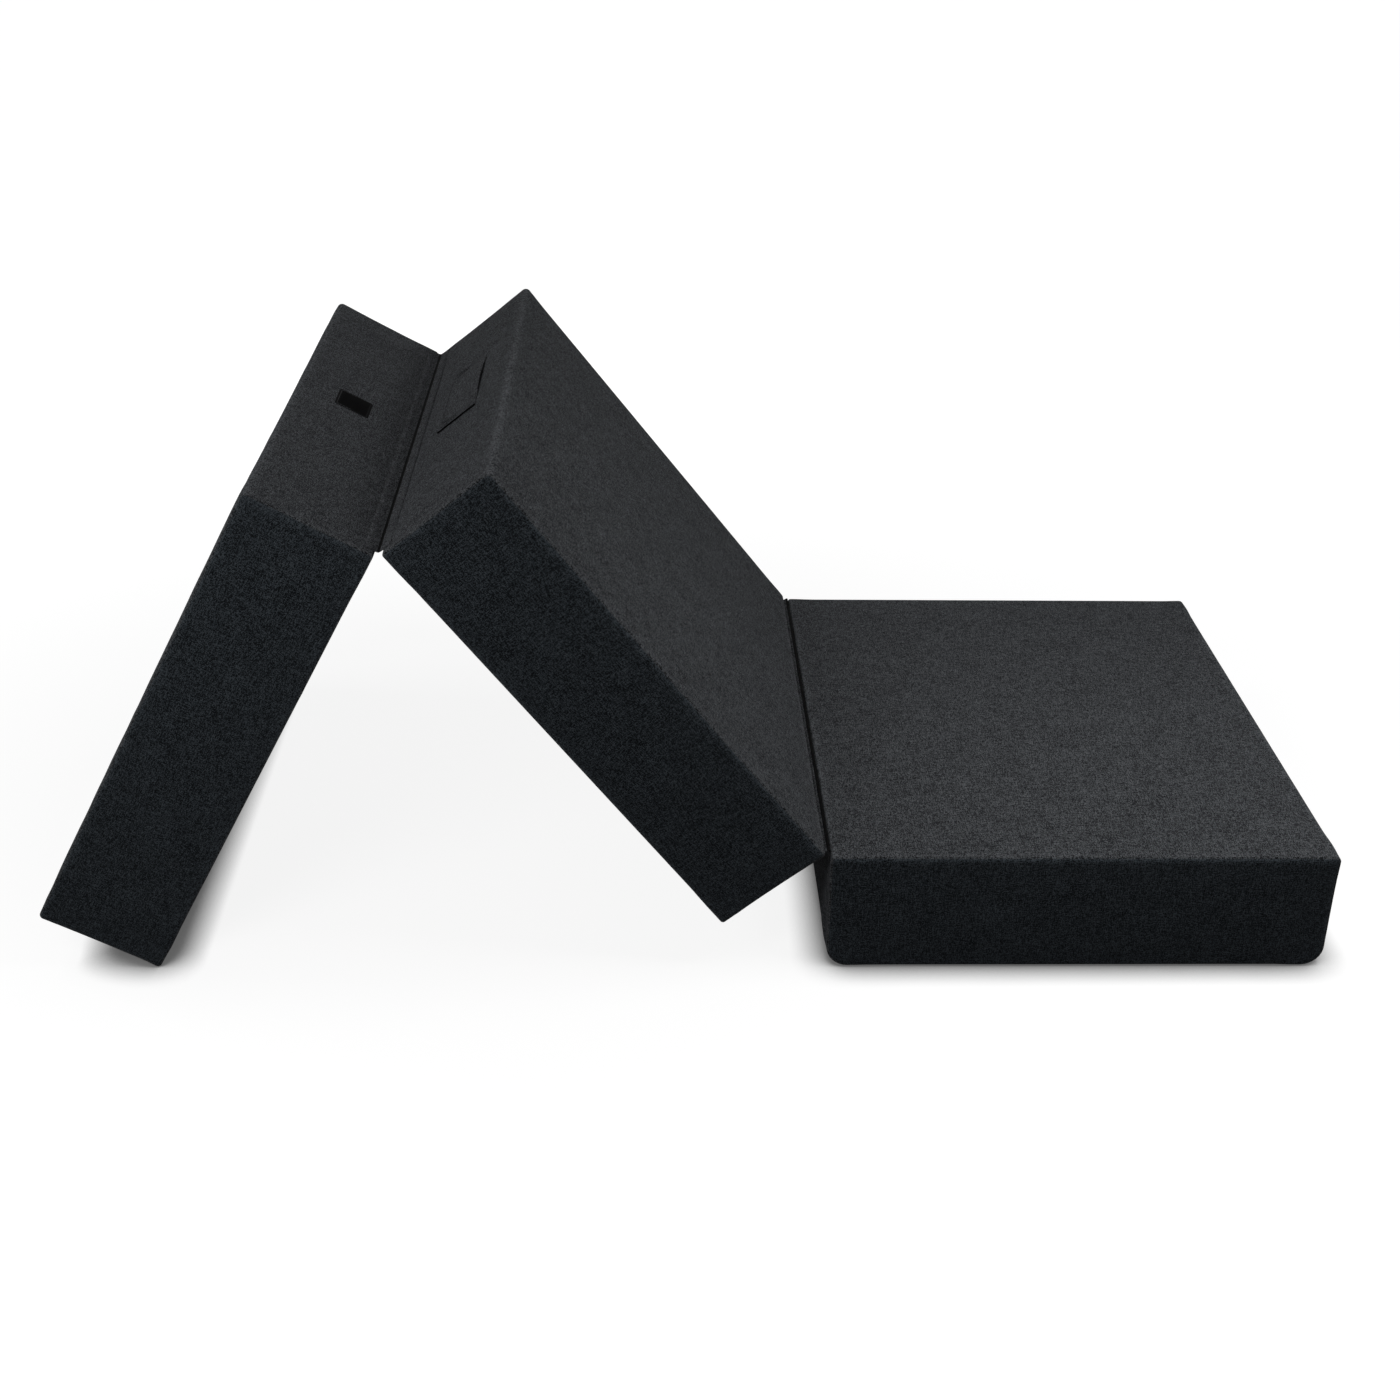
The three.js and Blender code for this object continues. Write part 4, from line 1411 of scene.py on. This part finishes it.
def stage_floor():
    made, nodes = new_material("pale_floor", (0.9, 0.9, 0.9))
    path = nodes.add("LightPath").outputs
    seen = nodes.math("MAXIMUM", path["Is Camera Ray"], path["Is Glossy Ray"])
    place = nodes.add("TexCoord").outputs["Object"]
    reach = nodes.vector("SUBTRACT", place, (*STAGE_MIDDLE, 0))
    reach = nodes.vector("MULTIPLY", reach, STAGE_STRETCH)
    away = nodes.add("VectorMath", {0: reach}, operation="LENGTH").outputs["Value"]
    # Painted contact shadow: the glow is dimmed where the object shuts in the floor
    contact_shade = nodes.add("AmbientOcclusion", {"Distance": CONTACT_REACH}, samples=16)
    shaded_glow = nodes.remap(contact_shade.outputs["AO"], *CONTACT_SHADOW_SKY, CONTACT_SHADOW_GLOW, FLOOR_GLOW)
    glow_level = nodes.mix(nodes.remap(away, *FADE_TO_WHITE), shaded_glow, 1.0)
    pale = nodes.add("BsdfDiffuse", {"Color": FLOOR_SEEN})
    glow = nodes.add("Emission", {"Color": (1, 1, 1, 1), "Strength": glow_level})
    bright = nodes.add("AddShader", {0: pale.outputs[0], 1: glow.outputs[0]})
    dull = nodes.add("BsdfDiffuse", {"Color": FLOOR_UNSEEN})
    choice = nodes.add("MixShader", {0: seen, 1: dull.outputs[0], 2: bright.outputs[0]})
    nodes.add("OutputMaterial", {"Surface": choice.outputs[0]})
    corners = [(x, y, 0) for x, y in rectangle(FLOOR_SIZE / 2, FLOOR_SIZE / 2)]
    floor = make_mesh("floor", corners, [(0, 1, 2, 3)], made, smooth=False)


def sky():
    world = bpy.data.worlds.new("sky")
    world.use_nodes = True
    nodes = Nodes(world.node_tree)
    path = nodes.add("LightPath").outputs
    seen = nodes.math("MAXIMUM", path["Is Camera Ray"], path["Is Glossy Ray"])
    seen = nodes.math("MAXIMUM", seen, path["Is Transmission Ray"])
    strength = nodes.remap(seen, 0, 1, SKY_LIGHT, 1.0)
    light = nodes.add("Background", {"Color": (1, 1, 1, 1), "Strength": strength})
    nodes.add("OutputWorld", {"Surface": light.outputs[0]})
    bpy.context.scene.world = world


def soft_light(name, place, aim, size, power):
    data = bpy.data.lights.new(name, "AREA")
    data.shape = "RECTANGLE"
    data.size, data.size_y = size
    data.energy = power
    lamp = linked(name, data)
    lamp.location = place
    lamp.rotation_mode = "QUATERNION"
    lamp.rotation_quaternion = (Vector(aim) - Vector(place)).to_track_quat("-Z", "Y")


stage_floor()
sky()
# Name, place, aim, size and power of each lamp
for lamp in (
    ("over_base", (0.34, -0.38, 1.2), (0.07, -0.3, 0.1), (0.6, 0.5), 8.9),
    ("front_left", (-1.35, -1.3, 1.1), (-0.9, -0.4, 0.35), (0.6, 0.6), 6.2),
    ("right", (1.9, 0.2, 1.4), (-0.4, 0.0, 0.3), (1.0, 1.0), 2.0),
    ("high_left", (-2.2, 0.2, 2.4), (-0.9, 0.0, 0.5), (1.0, 1.0), 12.8),
    ("back", (-0.5, 2.6, 0.7), (-0.4, 0.4, 0.3), (2.2, 0.9), 10.0),
):
    soft_light(*lamp)
